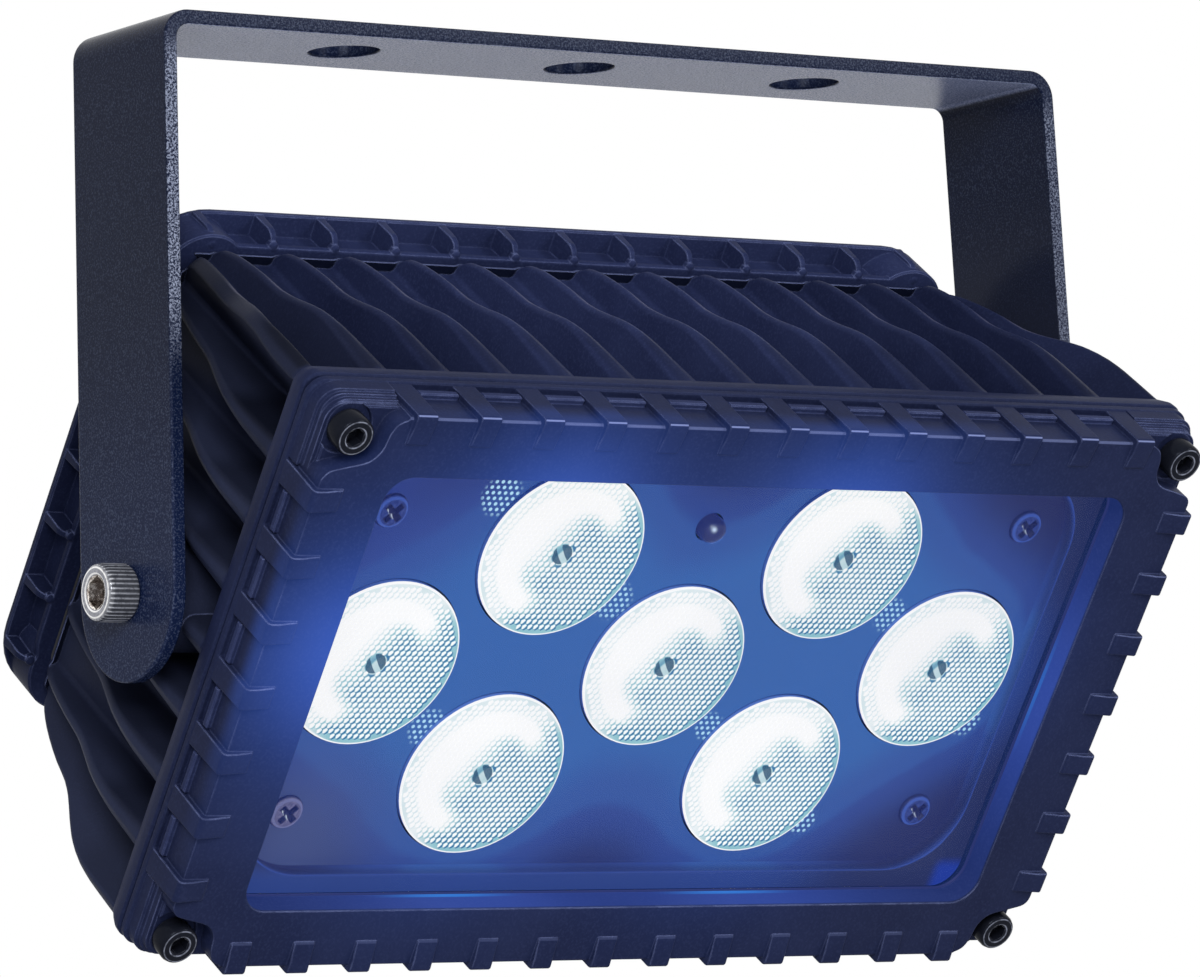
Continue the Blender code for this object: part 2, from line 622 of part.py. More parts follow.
def seal_ring_outlines(slack):
    """Outer and inner outline of the flange seal, widened by slack on both sides."""
    outer = (SEAL_RING[0] + slack, SEAL_RING[1] + slack)
    inner = (SEAL_RING[0] - SEAL_RING_WIDTH - slack, SEAL_RING[1] - SEAL_RING_WIDTH - slack)
    return [round_rect(outer, 4.0 * MM), round_rect(inner, 2.0 * MM)]


def make_seals():
    """Glass seal, flange seal and rear seal."""
    glass_back = GLASS_FRONT + GLASS_THICKNESS
    outlines = [round_rect(GLASS_HALF, WINDOW_CORNER), round_rect(SEAL_INNER, SEAL_CORNER, steps=6)]
    place("glass_gasket", prism("glass_gasket", outlines, "Y", glass_back + GAP, SEAL_BACK), RUBBER)
    low = FLANGE_FRONT - GAP
    place("housing_gasket", prism("housing_gasket", seal_ring_outlines(0.0), "Y", low,
                                  low + SEAL_GROOVE_DEPTH), RUBBER)
    cover_seal = [round_rect(REAR_SEAL_HALF, 8.0 * MM), round_rect(CAVITY_HALF, CAVITY_CORNER)]
    seal = place("rear_gasket", prism("rear_gasket", cover_seal, "Y", HOUSING_BACK + GAP,
                                      COVER_FRONT - GAP), RUBBER)
    holes = [cylinder(f"seal_hole_{name}", CAP_HOLE_RADIUS, "Y", HOUSING_BACK, COVER_FRONT, centre, steps=12)
             for name, side, up, centre in corners(REAR_SCREW)]
    boolean(seal, together("seal_holes", holes))


def lens_places():
    """Seven lenses: one in the middle, two beside it and four between."""
    half = LENS_PITCH / 2
    return [(0.0, 0.0), (-LENS_PITCH, 0.0), (LENS_PITCH, 0.0),
            (-half, LENS_ROW), (half, LENS_ROW), (-half, -LENS_ROW), (half, -LENS_ROW)]


def make_optics():
    """Glass, mask plate with its screws, lenses, emitters, their board and the remote sensor."""
    place("front_glass", prism("front_glass", [round_rect(GLASS_HALF, WINDOW_CORNER)], "Y",
                               GLASS_FRONT, GLASS_FRONT + GLASS_THICKNESS), GLASS)
    mask_back = MASK_FRONT + MASK_THICKNESS
    holes = [circle(LENS_RADIUS + 1.7 * GAP, centre, 20) for centre in lens_places()]
    holes += [circle(1.8 * MM, centre, 8) for name, side, up, centre in corners(MASK_SCREW)]
    holes.append(circle(SENSOR_RADIUS + 1.2 * GAP, SENSOR, 12))
    mask_outline = round_rect(MASK_HALF, SEAL_CORNER - 0.4 * MM, steps=6)
    place("lens_mask_plate", prism("mask_plate", [mask_outline] + holes, "Y", MASK_FRONT, mask_back), MASK)
    place("led_board", prism("led_board", [led_board_outline()], "Y", BOARD_FRONT,
                             BOARD_FRONT + BOARD_THICKNESS), BOARD)
    base = -BOARD_FRONT + GAP
    front = -LENS_FRONT
    pocket = 4.6 * MM
    neck = base + 5.5 * MM
    profile = [(0.0, front), (LENS_RADIUS, front), (LENS_RADIUS, front - 1.6 * MM),
               (LENS_BASE_RADIUS, base), (pocket, base), (pocket * 0.8, neck), (0.0, neck)]
    lens = smooth(turned("lens", profile, "Y", steps=20))
    dome = [(0.0, base + 3.0 * MM), (1.8 * MM, base + 2.2 * MM), (2.4 * MM, base + 0.8 * MM),
            (3.4 * MM, base + 0.8 * MM), (3.4 * MM, base), (0.0, base)]
    emitter = smooth(turned("emitter", dome, "Y", steps=10))
    for i, (across, height) in enumerate(lens_places(), start=1):
        place(f"lens_{i}", lens, LENS, location=(across, 0, height))
        place(f"led_emitter_{i}", emitter, LED, location=(across, 0, height))
    sensor_front = -MASK_FRONT + 1.2 * MM
    pipe = [(0.0, sensor_front + 1.6 * MM), (1.7 * MM, sensor_front + 0.9 * MM),
            (SENSOR_RADIUS, sensor_front - 0.6 * MM), (SENSOR_RADIUS, base), (0.0, base)]
    place("ir_receiver", smooth(turned("ir_receiver", pipe, "Y", steps=12)), DARK_PLASTIC,
          location=(SENSOR[0], 0, SENSOR[1]))


def circle(radius, centre, steps):
    """Points round a circle."""
    return [(centre[0] + radius * math.cos(2 * math.pi * i / steps),
             centre[1] + radius * math.sin(2 * math.pi * i / steps)) for i in range(steps)]


def led_board_outline():
    """Eight-sided board that leaves the mask posts free."""
    wide, high = 70.0 * MM, 36.0 * MM
    cut_across, cut_up = 54.0 * MM, 16.0 * MM
    right = [(wide, -cut_up), (wide, cut_up), (cut_across, high)]
    left = [(-x, z) for x, z in reversed(right)]
    return right + left + [(-cut_across, -high), (cut_across, -high)]


def make_mask_screws():
    """Pan-head M3 screws with a cross recess."""
    head, rise = 3.0 * MM, 1.9 * MM
    profile = [(0.0, rise), (2.2 * MM, rise - 0.5 * MM), (head, 0.4 * MM), (head, 0.0),
               (MASK_THREAD_RADIUS, 0.0), (MASK_THREAD_RADIUS, -MASK_SCREW_LENGTH), (0.0, -MASK_SCREW_LENGTH)]
    body = place("pan_screw", turned("pan_screw", profile, "Y", steps=14), STEEL, parent=None)
    arm, blade, tip = 1.63 * MM, 0.46 * MM, 0.38 * MM
    quarter = [(blade, blade), (arm, tip), (arm, -tip)]
    cross = [(x * turn[0] + z * turn[1], z * turn[0] - x * turn[1])
             for turn in ((1, 0), (0, 1), (-1, 0), (0, -1)) for x, z in quarter]
    boolean(body, prism("recess", [cross], "Y", -rise - MM, -0.6 * MM))
    mesh = smooth(finished(body))
    seat = MASK_FRONT - GAP
    for name, side, up, (across, height) in corners(MASK_SCREW):
        place(f"mask_screw_{name}", mesh, STEEL, location=(across, seat, height))


def make_corner_screws():
    """M4 cap screws: four hold the bezel, four hold the rear cover."""
    front = smooth(cap_screw_mesh("bezel_cap_screw", CAP_HEAD_RADIUS, CAP_HEAD_HEIGHT, CAP_RADIUS,
                                  9.4 * MM, CAP_KEY, "Y"))
    rear = smooth(cap_screw_mesh("rear_cap_screw", CAP_HEAD_RADIUS, CAP_HEAD_HEIGHT, CAP_RADIUS,
                                 16.0 * MM, CAP_KEY, "Y"))
    for name, side, up, (across, height) in corners(CORNER_SCREW):
        place(f"bezel_screw_{name}", front, BLACK_STEEL, location=(across, POCKET_FLOOR - GAP, height))
    for name, side, up, (across, height) in corners(REAR_SCREW):
        screw = place(f"rear_screw_{name}", rear, BLACK_STEEL,
                      location=(across, COVER_BACK - CAP_HEAD_HEIGHT, height))
        screw.rotation_euler = (0, 0, math.pi)


def make_driver():
    """Driver board on its posts with the transformer and the smoothing capacitor."""
    back = DRIVER_FRONT + BOARD_THICKNESS
    place("driver_board", prism("driver_board", [round_rect(DRIVER_BOARD_HALF, 2 * MM, steps=1)], "Y",
                                DRIVER_FRONT, back), BOARD)
    low = back + GAP
    (left, right), (bottom, top), tall = TRANSFORMER
    place("transformer", block("transformer", (left, low, bottom), (right, low + tall, top)), COPPER)
    radius, end = CAPACITOR_RADIUS, -low - CAPACITOR_LENGTH
    chamfer = 1.5 * MM
    can = [(0.0, -low), (radius, -low), (radius, end + chamfer), (radius - chamfer, end), (0.0, end)]
    place("capacitor", smooth(turned("capacitor", can, "Y")), SLEEVE,
          location=(CAPACITOR_AT[0], 0, CAPACITOR_AT[1]))


def make_rear_cover():
    """Shallow cover: lip, gusseted side wall, thin rim, round corner lobes, panel and gland holes."""
    cover = place("rear_cover", stacked("cover", [
        (COVER_FRONT, COVER_LIP_HALF, COVER_CORNER), (COVER_LIP_BACK, COVER_LIP_HALF, COVER_CORNER),
        (COVER_LIP_BACK, COVER_WALL_HALF, COVER_CORNER), (COVER_RIM_FRONT, COVER_WALL_HALF, COVER_CORNER),
        (COVER_RIM_FRONT, COVER_RIM_HALF, COVER_CORNER), (COVER_BACK, COVER_RIM_HALF, COVER_CORNER)]),
                  CAST_COAT)
    gussets = []
    for edge, (wall, rim) in enumerate(zip(COVER_WALL_HALF[::-1], COVER_RIM_HALF[::-1])):
        lip = COVER_LIP_HALF[1 - edge]
        outline = [(COVER_LIP_BACK - 0.6 * MM, wall - MM), (COVER_LIP_BACK - 0.6 * MM, lip - 0.1 * MM),
                   (COVER_LIP_BACK + 3.0 * MM, lip + 0.2 * MM),
                   (COVER_RIM_FRONT + 0.4 * MM, rim - 0.2 * MM), (COVER_RIM_FRONT + 0.4 * MM, wall - MM)]
        for middle in row((FINS_ACROSS, FINS_UP)[edge], PITCH):
            for side in (-1, 1):
                low, high = middle - GUSSET_WIDTH / 2, middle + GUSSET_WIDTH / 2
                if edge == 0:
                    shape = [(depth, side * out) for depth, out in outline]
                    gussets.append(prism("gusset_across", [shape], "X", low, high))
                else:
                    shape = [(side * out, depth) for depth, out in outline]
                    gussets.append(prism("gusset_up", [shape], "Z", low, high))
    boolean(cover, together("gussets", gussets), "UNION")
    inside = COVER_BACK - COVER_PLATE
    boolean(cover, prism("hollow", [round_rect(CAVITY_HALF, CAVITY_CORNER)], "Y", COVER_FRONT - MM, inside))
    lobes = [cylinder(f"lobe_{name}", LOBE_RADIUS, "Y", COVER_FRONT + 0.05 * MM, COVER_BACK - 0.2 * MM,
                      centre, steps=20) for name, side, up, centre in corners(REAR_SCREW)]
    for name, side, up, (across, height) in corners(PANEL_POST):
        lobes.append(cylinder(f"panel_post_{name}", PANEL_POST_RADIUS, "Y", PANEL_BACK + GAP, inside + 0.5 * MM,
                              (across, height + PANEL_UP), steps=6))
    boolean(cover, together("lobes", lobes), "UNION")
    holes = []
    for name, side, up, centre in corners(REAR_SCREW):
        holes.append(cylinder(f"cover_screw_hole_{name}", CAP_HOLE_RADIUS, "Y", COVER_FRONT - MM,
                              COVER_BACK + MM, centre, steps=8))
    for middle in row(4, BUTTON_SPACING):
        holes.append(cylinder("button_hole", BUTTON_RADIUS + GAP, "Y", inside - MM, COVER_BACK + MM,
                              (middle, BUTTON_UP), steps=14))
    for middle in row(3, GLAND_SPACING):
        holes.append(cylinder("gland_hole", GLAND_HOLE_RADIUS, "Y", inside - MM, COVER_BACK + MM,
                              (middle, GLAND_UP), steps=14))
    boolean(cover, together("cover_holes", holes))
    counterbores = [cylinder(f"counterbore_{name}", CAP_HEAD_RADIUS + 0.4 * MM, "Y",
                             COVER_BACK - CAP_HEAD_HEIGHT - GAP, COVER_BACK + MM, centre, steps=14)
                    for name, side, up, centre in corners(REAR_SCREW)]
    counterbores.append(block("display_pocket",
                              (-DISPLAY_HALF[0] - GAP, COVER_BACK - DISPLAY_SINK,
                               DISPLAY_UP - DISPLAY_HALF[1] - GAP),
                              (DISPLAY_HALF[0] + GAP, COVER_BACK + MM, DISPLAY_UP + DISPLAY_HALF[1] + GAP)))
    boolean(cover, together("counterbores", counterbores))
    boolean(cover, block("display_hole",
                         (-DIGITS_HALF[0] - GAP, inside - MM, DISPLAY_UP - DIGITS_HALF[1] - GAP),
                         (DIGITS_HALF[0] + GAP, COVER_BACK, DISPLAY_UP + DIGITS_HALF[1] + GAP)))


def make_control_panel():
    """Control board with its digits, the window over them and four sprung push-buttons."""
    place("control_board", block("control_board",
                                 (-PANEL_HALF[0], PANEL_BACK - BOARD_THICKNESS, PANEL_UP - PANEL_HALF[1]),
                                 (PANEL_HALF[0], PANEL_BACK, PANEL_UP + PANEL_HALF[1])), BOARD)
    place("digit_display", block("digit_display",
                                 (-DIGITS_HALF[0], PANEL_BACK + GAP, DISPLAY_UP - DIGITS_HALF[1]),
                                 (DIGITS_HALF[0], COVER_BACK - 1.8 * MM, DISPLAY_UP + DIGITS_HALF[1])),
          DARK_PLASTIC)
    window_back = COVER_BACK + 0.1 * MM
    place("display_window", block("display_window",
                                  (-DISPLAY_HALF[0], window_back - MM, DISPLAY_UP - DISPLAY_HALF[1]),
                                  (DISPLAY_HALF[0], window_back, DISPLAY_UP + DISPLAY_HALF[1])), GLASS)
    flange_back = COVER_BACK - COVER_PLATE - 0.4 * MM
    out = BUTTON_PROUD + COVER_BACK
    wide = BUTTON_RADIUS + BUTTON_FLANGE
    profile = [(0.0, flange_back - 1.5 * MM), (wide, flange_back - 1.5 * MM), (wide, flange_back),
               (BUTTON_RADIUS, flange_back), (BUTTON_RADIUS, out - 0.5 * MM),
               (BUTTON_RADIUS - 0.6 * MM, out), (0.0, out)]
    profile = [(radius, COVER_BACK - depth) for radius, depth in profile]
    mesh = smooth(turned("button", profile, "Y", steps=14))
    for i, across in enumerate(row(4, BUTTON_SPACING), start=1):
        place(f"button_{i}", mesh, RUBBER, location=(across, COVER_BACK, BUTTON_UP))


def make_glands():
    """Three cable glands, each a threaded hexagon body with a domed cap closed by its blind seal."""
    corner = GLAND_HEX / math.sqrt(3)
    base = COVER_BACK + GAP
    hexagon = circle(corner, (0.0, 0.0), 6)
    low = base + GLAND_HEX_HEIGHT
    thread_end = low + GLAND_THREAD
    body = place("gland", prism("gland", [hexagon], "Y", base, low), DARK_PLASTIC, parent=None)
    neck = GLAND_HOLE_RADIUS - 0.5 * MM
    boolean(body, cylinder("thread", neck, "Y", COVER_BACK - 5 * MM, thread_end, steps=14), "UNION")
    body_mesh = smooth(finished(body))
    low += GAP
    tall = GLAND_CAP_HEIGHT
    wall = neck + GAP
    wide = GLAND_HEX / 2 - 0.2 * MM
    profile = [(wall, low), (wide, low), (wide, low + 5.5 * MM), (wide - 1.2 * MM, low + 8.2 * MM),
               (wide - 3.4 * MM, low + tall), (3.2 * MM, low + tall), (2.6 * MM, low + tall - 1.4 * MM),
               (0.0, low + tall - 1.4 * MM)]
    profile = [(0.0, thread_end + GAP), (wall, thread_end + GAP)] + profile
    cap_mesh = smooth(turned("gland_cap", [(radius, -depth) for radius, depth in profile], "Y", steps=16))
    for name, across in zip(("left", "middle", "right"), row(3, GLAND_SPACING)):
        place(f"gland_body_{name}", body_mesh, DARK_PLASTIC, location=(across, 0, GLAND_UP))
        place(f"gland_cap_{name}", cap_mesh, DARK_PLASTIC, location=(across, 0, GLAND_UP))


make_bracket()
make_tilt_bolts()
make_bezel()
make_housing()
make_seals()
make_optics()
make_mask_screws()
make_corner_screws()
make_driver()
make_rear_cover()
make_control_panel()
make_glands()
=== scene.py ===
"""Looks of the LED floodlight: castings, optics, fastenings and their finishes.

Sizes are in millimetres, and turn into metres where points are set down, as in loft, prism and shift.
Pieces on the lamp are drawn in the lamp's own axes (X across, Y depth with the front negative, Z up)
about the tilt line, and set down by LAMP. The bracket is drawn in the model's axes.
"""

import json
import math

import bmesh
import bpy
from mathutils import Matrix, Vector


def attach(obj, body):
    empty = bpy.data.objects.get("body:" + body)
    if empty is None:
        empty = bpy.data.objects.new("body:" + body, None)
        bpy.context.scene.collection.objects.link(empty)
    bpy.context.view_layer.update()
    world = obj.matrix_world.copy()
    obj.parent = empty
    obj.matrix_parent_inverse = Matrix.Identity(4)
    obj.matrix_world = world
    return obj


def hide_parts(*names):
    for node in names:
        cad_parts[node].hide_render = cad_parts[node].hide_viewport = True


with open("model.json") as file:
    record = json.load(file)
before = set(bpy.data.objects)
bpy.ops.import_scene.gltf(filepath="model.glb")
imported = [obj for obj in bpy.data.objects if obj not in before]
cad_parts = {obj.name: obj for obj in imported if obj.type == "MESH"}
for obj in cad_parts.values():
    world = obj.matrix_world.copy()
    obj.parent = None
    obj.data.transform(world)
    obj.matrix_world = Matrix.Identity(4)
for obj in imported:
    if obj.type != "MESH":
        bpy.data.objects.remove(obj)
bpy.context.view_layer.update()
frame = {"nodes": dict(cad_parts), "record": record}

MM = 0.001
TAU = 2 * math.pi
SLOT = {entry["node"]: entry["material_slot"] for entry in frame["record"]["subparts"]}

# The part's own sizes, as its source has them
STRIP_WIDTH = 30
STRIP_THICKNESS = 2.5
BAR_HALF_WIDTH = 95.85
LEG_SPLAY = 0.0254
BEND_RADIUS = 5
AXIS_DROP = 97.6
LEG_END_DROP = 0.2
CLAMP_HOLE_RADIUS = 6.25
PIVOT_HOLE_RADIUS = 3.4
CLAMP_HOLE_SPACING = 50
REST_TILT = math.radians(37)
PITCH = 12.7
FINS_ACROSS = 13
FINS_UP = 7
BEZEL_HALF = (92.3, 54.05)
RIM_HALF = (93.4, 55.4)
BEZEL_FRONT = -33
BEZEL_BACK = -22
RIM_FRONT = -23.5
BLOCK_FRONT = -34
BLOCK_WIDTH = 4.8
BLOCK_PROUD = 1.1
BLOCK_TAB = 5.1
POCKET_FLOOR = -28.5
CORNER_SCREW = (88.1, 49.75)
WINDOW_HALF = (78.7, 42.7)
WINDOW_CORNER = 5
GLASS_HALF = (81, 45)
GLASS_FRONT = -27.6
GLASS_BACK = -24.6
BEAD_FRONT = -28.1
SEAL_INNER = (77.2, 41.2)
SEAL_CORNER = 14
MASK_FRONT = -21.1
MASK_HALF = (77.25, 41.25)
LENS_RADIUS = 16.2
LENS_FRONT = -21.9
LENS_BASE = -2.7
LENS_PITCH = 60.3
LENS_ROW = 22.25
MASK_SCREW = (67.8, 29.9)
SENSOR = (-0.7, 27.9)
FLANGE_FRONT = -21.4
FLANGE_BACK = -17.5
FIN_HALF = (92.7, 54.5)
FIN_END = 37.3
PIT_FLOOR = (81, 43.8)
CORNER_RIB = 3.1
CAVITY_HALF = (78.6, 41.6)
CAVITY_FLOOR = -1.1
BOSS_HEIGHT = 17.6
BOSS_FACE = 93.6
COVER_FRONT = 39.6
COVER_BACK = 48.3
COVER_WALL_HALF = (83.1, 44.6)
COVER_LIP_HALF = (84.7, 46.2)
COVER_RIM_HALF = (86.7, 48.75)
COVER_CORNER = 13.5
PAST_COVER = 50
REAR_SCREW = (76, 39.6)
LOBE_RADIUS = 8.4
DISPLAY_UP = 20
DISPLAY_HALF = (17, 7)
BUTTON_UP = 1
BUTTON_SPACING = 16
BUTTON_RADIUS = 3.6
GLAND_UP = -27
GLAND_SPACING = 42
M4_HEAD = (3.55, 4, 1.95)
M6_HEAD = (5, 6, 3)
FLOOR_DROP = 340


def shift(x=0, y=0, z=0):
    """A move by so many millimetres."""
    return Matrix.Translation((x * MM, y * MM, z * MM))


LAMP = shift(z=-AXIS_DROP) @ Matrix.Rotation(REST_TILT, 4, "X")
TO_FRONT = Matrix(((1, 0, 0, 0), (0, 0, -1, 0), (0, 1, 0, 0), (0, 0, 0, 1)))
TO_BACK = Matrix.Rotation(math.pi, 4, "Z") @ TO_FRONT
QUARTER_Z = Matrix.Rotation(math.pi / 2, 4, "Z")


# Surfaces: expressions on sockets

class Signal:
    """A value that varies over a surface. Python's operators on it add Math nodes."""

    def __init__(self, nodes, socket):
        self.nodes = nodes
        self.socket = socket

    def math(self, operation, *values):
        return self.nodes.node("ShaderNodeMath", dict(enumerate((self, *values))), operation=operation)

    def __add__(self, other): return self.math("ADD", other)
    def __mul__(self, other): return self.math("MULTIPLY", other)
    def __sub__(self, other): return self.math("SUBTRACT", other)
    def __truediv__(self, other): return self.math("DIVIDE", other)
    def __rsub__(self, other): return self * -1 + other
    def __abs__(self): return self.math("ABSOLUTE")
    __radd__ = __add__
    __rmul__ = __mul__

    def above(self, limit): return self.math("GREATER_THAN", limit)
    def below(self, limit): return self.math("LESS_THAN", limit)
    def least(self, other): return self.math("MINIMUM", other)
    def most(self, other): return self.math("MAXIMUM", other)
    def root(self): return self.math("SQRT")
    def decay(self): return (self * -1).math("EXPONENT")
    def beside(self, other): return (self * self + other * other).root()

    def ramp(self, low, high, at_low=0, at_high=1):
        """Runs smoothly from at_low to at_high as the signal goes from low to high."""
        return self.nodes.node("ShaderNodeMapRange", {0: self, 1: low, 2: high, 3: at_low, 4: at_high},
                               interpolation_type="SMOOTHSTEP")

    def mix(self, amount, other):
        """This colour, going over to another one as amount goes from 0 to 1."""
        return self.nodes.blend(amount, self, other)

    def scaled(self, amount):
        """This colour made stronger or weaker by a signal."""
        return self.nodes.node("ShaderNodeVectorMath", {0: self, "Scale": amount}, operation="SCALE")


class Nodes:
    """A node tree being filled."""

    def __init__(self, tree):
        self.tree = tree

    def node(self, kind, sockets=None, output=0, **settings):
        """Adds a node: its settings first, then a value or a signal on each named socket."""
        made = self.tree.nodes.new(kind)
        for setting, value in settings.items():
            setattr(made, setting, value)
        for socket, value in (sockets or {}).items():
            self.put(made.inputs[socket], value)
        return Signal(self, made.outputs[output])

    def put(self, socket, value):
        """Sets a value on a socket, or links a signal to it."""
        if isinstance(value, Signal):
            self.tree.links.new(value.socket, socket)
        else:
            socket.default_value = value

    def several(self, node, outputs):
        """Signals from some outputs of the node that a signal comes from."""
        return [Signal(self, node.socket.node.outputs[output]) for output in outputs]

    def seen_directly(self):
        """1 for what the camera, a reflection or the glass looks at, and 0 for lighting."""
        rays = self.several(self.node("ShaderNodeLightPath"),
                            ("Is Camera Ray", "Is Glossy Ray", "Is Transmission Ray"))
        return sum(rays).least(1)


class Finish(Nodes):
    """One material being made, with its principled shader. Its signals use the piece's own millimetres."""

    def __init__(self, name, **fixed):
        self.material = bpy.data.materials.new(name)
        self.material.use_nodes = True
        super().__init__(self.material.node_tree)
        self.shader = self.tree.nodes["Principled BSDF"]
        self.feed(**fixed)
        self.where = self.node("ShaderNodeTexCoord", output="Object").scaled(1 / MM)

    def feed(self, **signals):
        """Puts values or signals on the shader's own sockets, and gives the material back."""
        for socket, value in signals.items():
            self.put(self.shader.inputs[socket.replace("_", " ")], value)
        return self.material

    def axes(self, wanted="XYZ"):
        """Where a point is along some of the piece's own axes."""
        return self.several(self.node("ShaderNodeSeparateXYZ", {0: self.where}), wanted)

    def noise(self, scale, detail=3, roughness=0.55, distortion=0):
        """Noise from 0 to 1 with a grain of about 1/scale millimetres."""
        return self.node("ShaderNodeTexNoise", {"Vector": self.where, "Scale": scale, "Detail": detail,
                                                "Roughness": roughness, "Distortion": distortion}, "Fac")

    def blend(self, amount, first, second):
        """A colour that goes from first to second as amount goes from 0 to 1."""
        first, second = [colour if isinstance(colour, Signal) else (*colour, 1) for colour in (first, second)]
        return self.node("ShaderNodeMix", {0: amount, 6: first, 7: second}, 2, data_type="RGBA")

    def dot(self, first, second):
        return self.node("ShaderNodeVectorMath", {0: first, 1: second}, "Value", operation="DOT_PRODUCT")

    def wear_and_highlight_edges(self, radius, samples=4):
        """1 on outward edges and 0 elsewhere, with the rounded normal that finds them."""
        rounded = self.node("ShaderNodeBevel", {"Radius": radius * MM}, samples=samples)
        straight = self.dot(rounded, self.node("ShaderNodeNewGeometry", output="Normal"))
        outward = self.node("ShaderNodeAmbientOcclusion", {"Distance": radius * MM * 1.6}, "AO",
                            samples=samples, only_local=True)
        return (1 - straight).ramp(0.01, 0.2) * outward.ramp(0.66, 0.9), rounded

    def turned_to(self, normal, *direction):
        """How far a world normal looks along a direction in the piece's own axes."""
        return self.dot(self.node("ShaderNodeVectorTransform", {0: normal}, vector_type="NORMAL",
                                  convert_from="WORLD", convert_to="OBJECT"), direction)

    def facing(self, *direction):
        """1 where the surface looks along a direction in the piece's own axes, -1 where it looks away."""
        return self.dot(self.node("ShaderNodeTexCoord", output="Normal"), direction)

    def bumped(self, height, distance, strength=1, over=None):
        """A normal from a height signal."""
        sockets = {"Height": height, "Distance": distance * MM, "Strength": strength}
        return self.node("ShaderNodeBump", sockets if over is None else {**sockets, "Normal": over})


LENS_PLACES = [(0, 0), (-LENS_PITCH, 0), (LENS_PITCH, 0),
               (-LENS_PITCH / 2, LENS_ROW), (LENS_PITCH / 2, LENS_ROW),
               (-LENS_PITCH / 2, -LENS_ROW), (LENS_PITCH / 2, -LENS_ROW)]
# Small reflections of the cells on the mask: across, up and radius
GHOST_LIGHTS = [(-46.3, 33, 4.2), (-15.3, 12.8, 4), (-44.5, -13.2, 4), (45.6, 10.8, 3.6),
                (15, -12.6, 3), (43.8, -32.5, 3), (72, -11, 3.4)]


def spot(x, z, across, up, radius):
    """1 at a place on the lamp's face, fading out round it."""
    dx, dz = x - across, z - up
    return ((dx * dx + dz * dz) / (radius * radius)).decay()


def lens_light(x, z, spread, across=0, up=0):
    """How strongly the seven lenses light a point, about 1 over the middle of one. It can be moved aside."""
    return sum(spot(x, z, lens[0] + across, lens[1] + up, spread) for lens in LENS_PLACES)


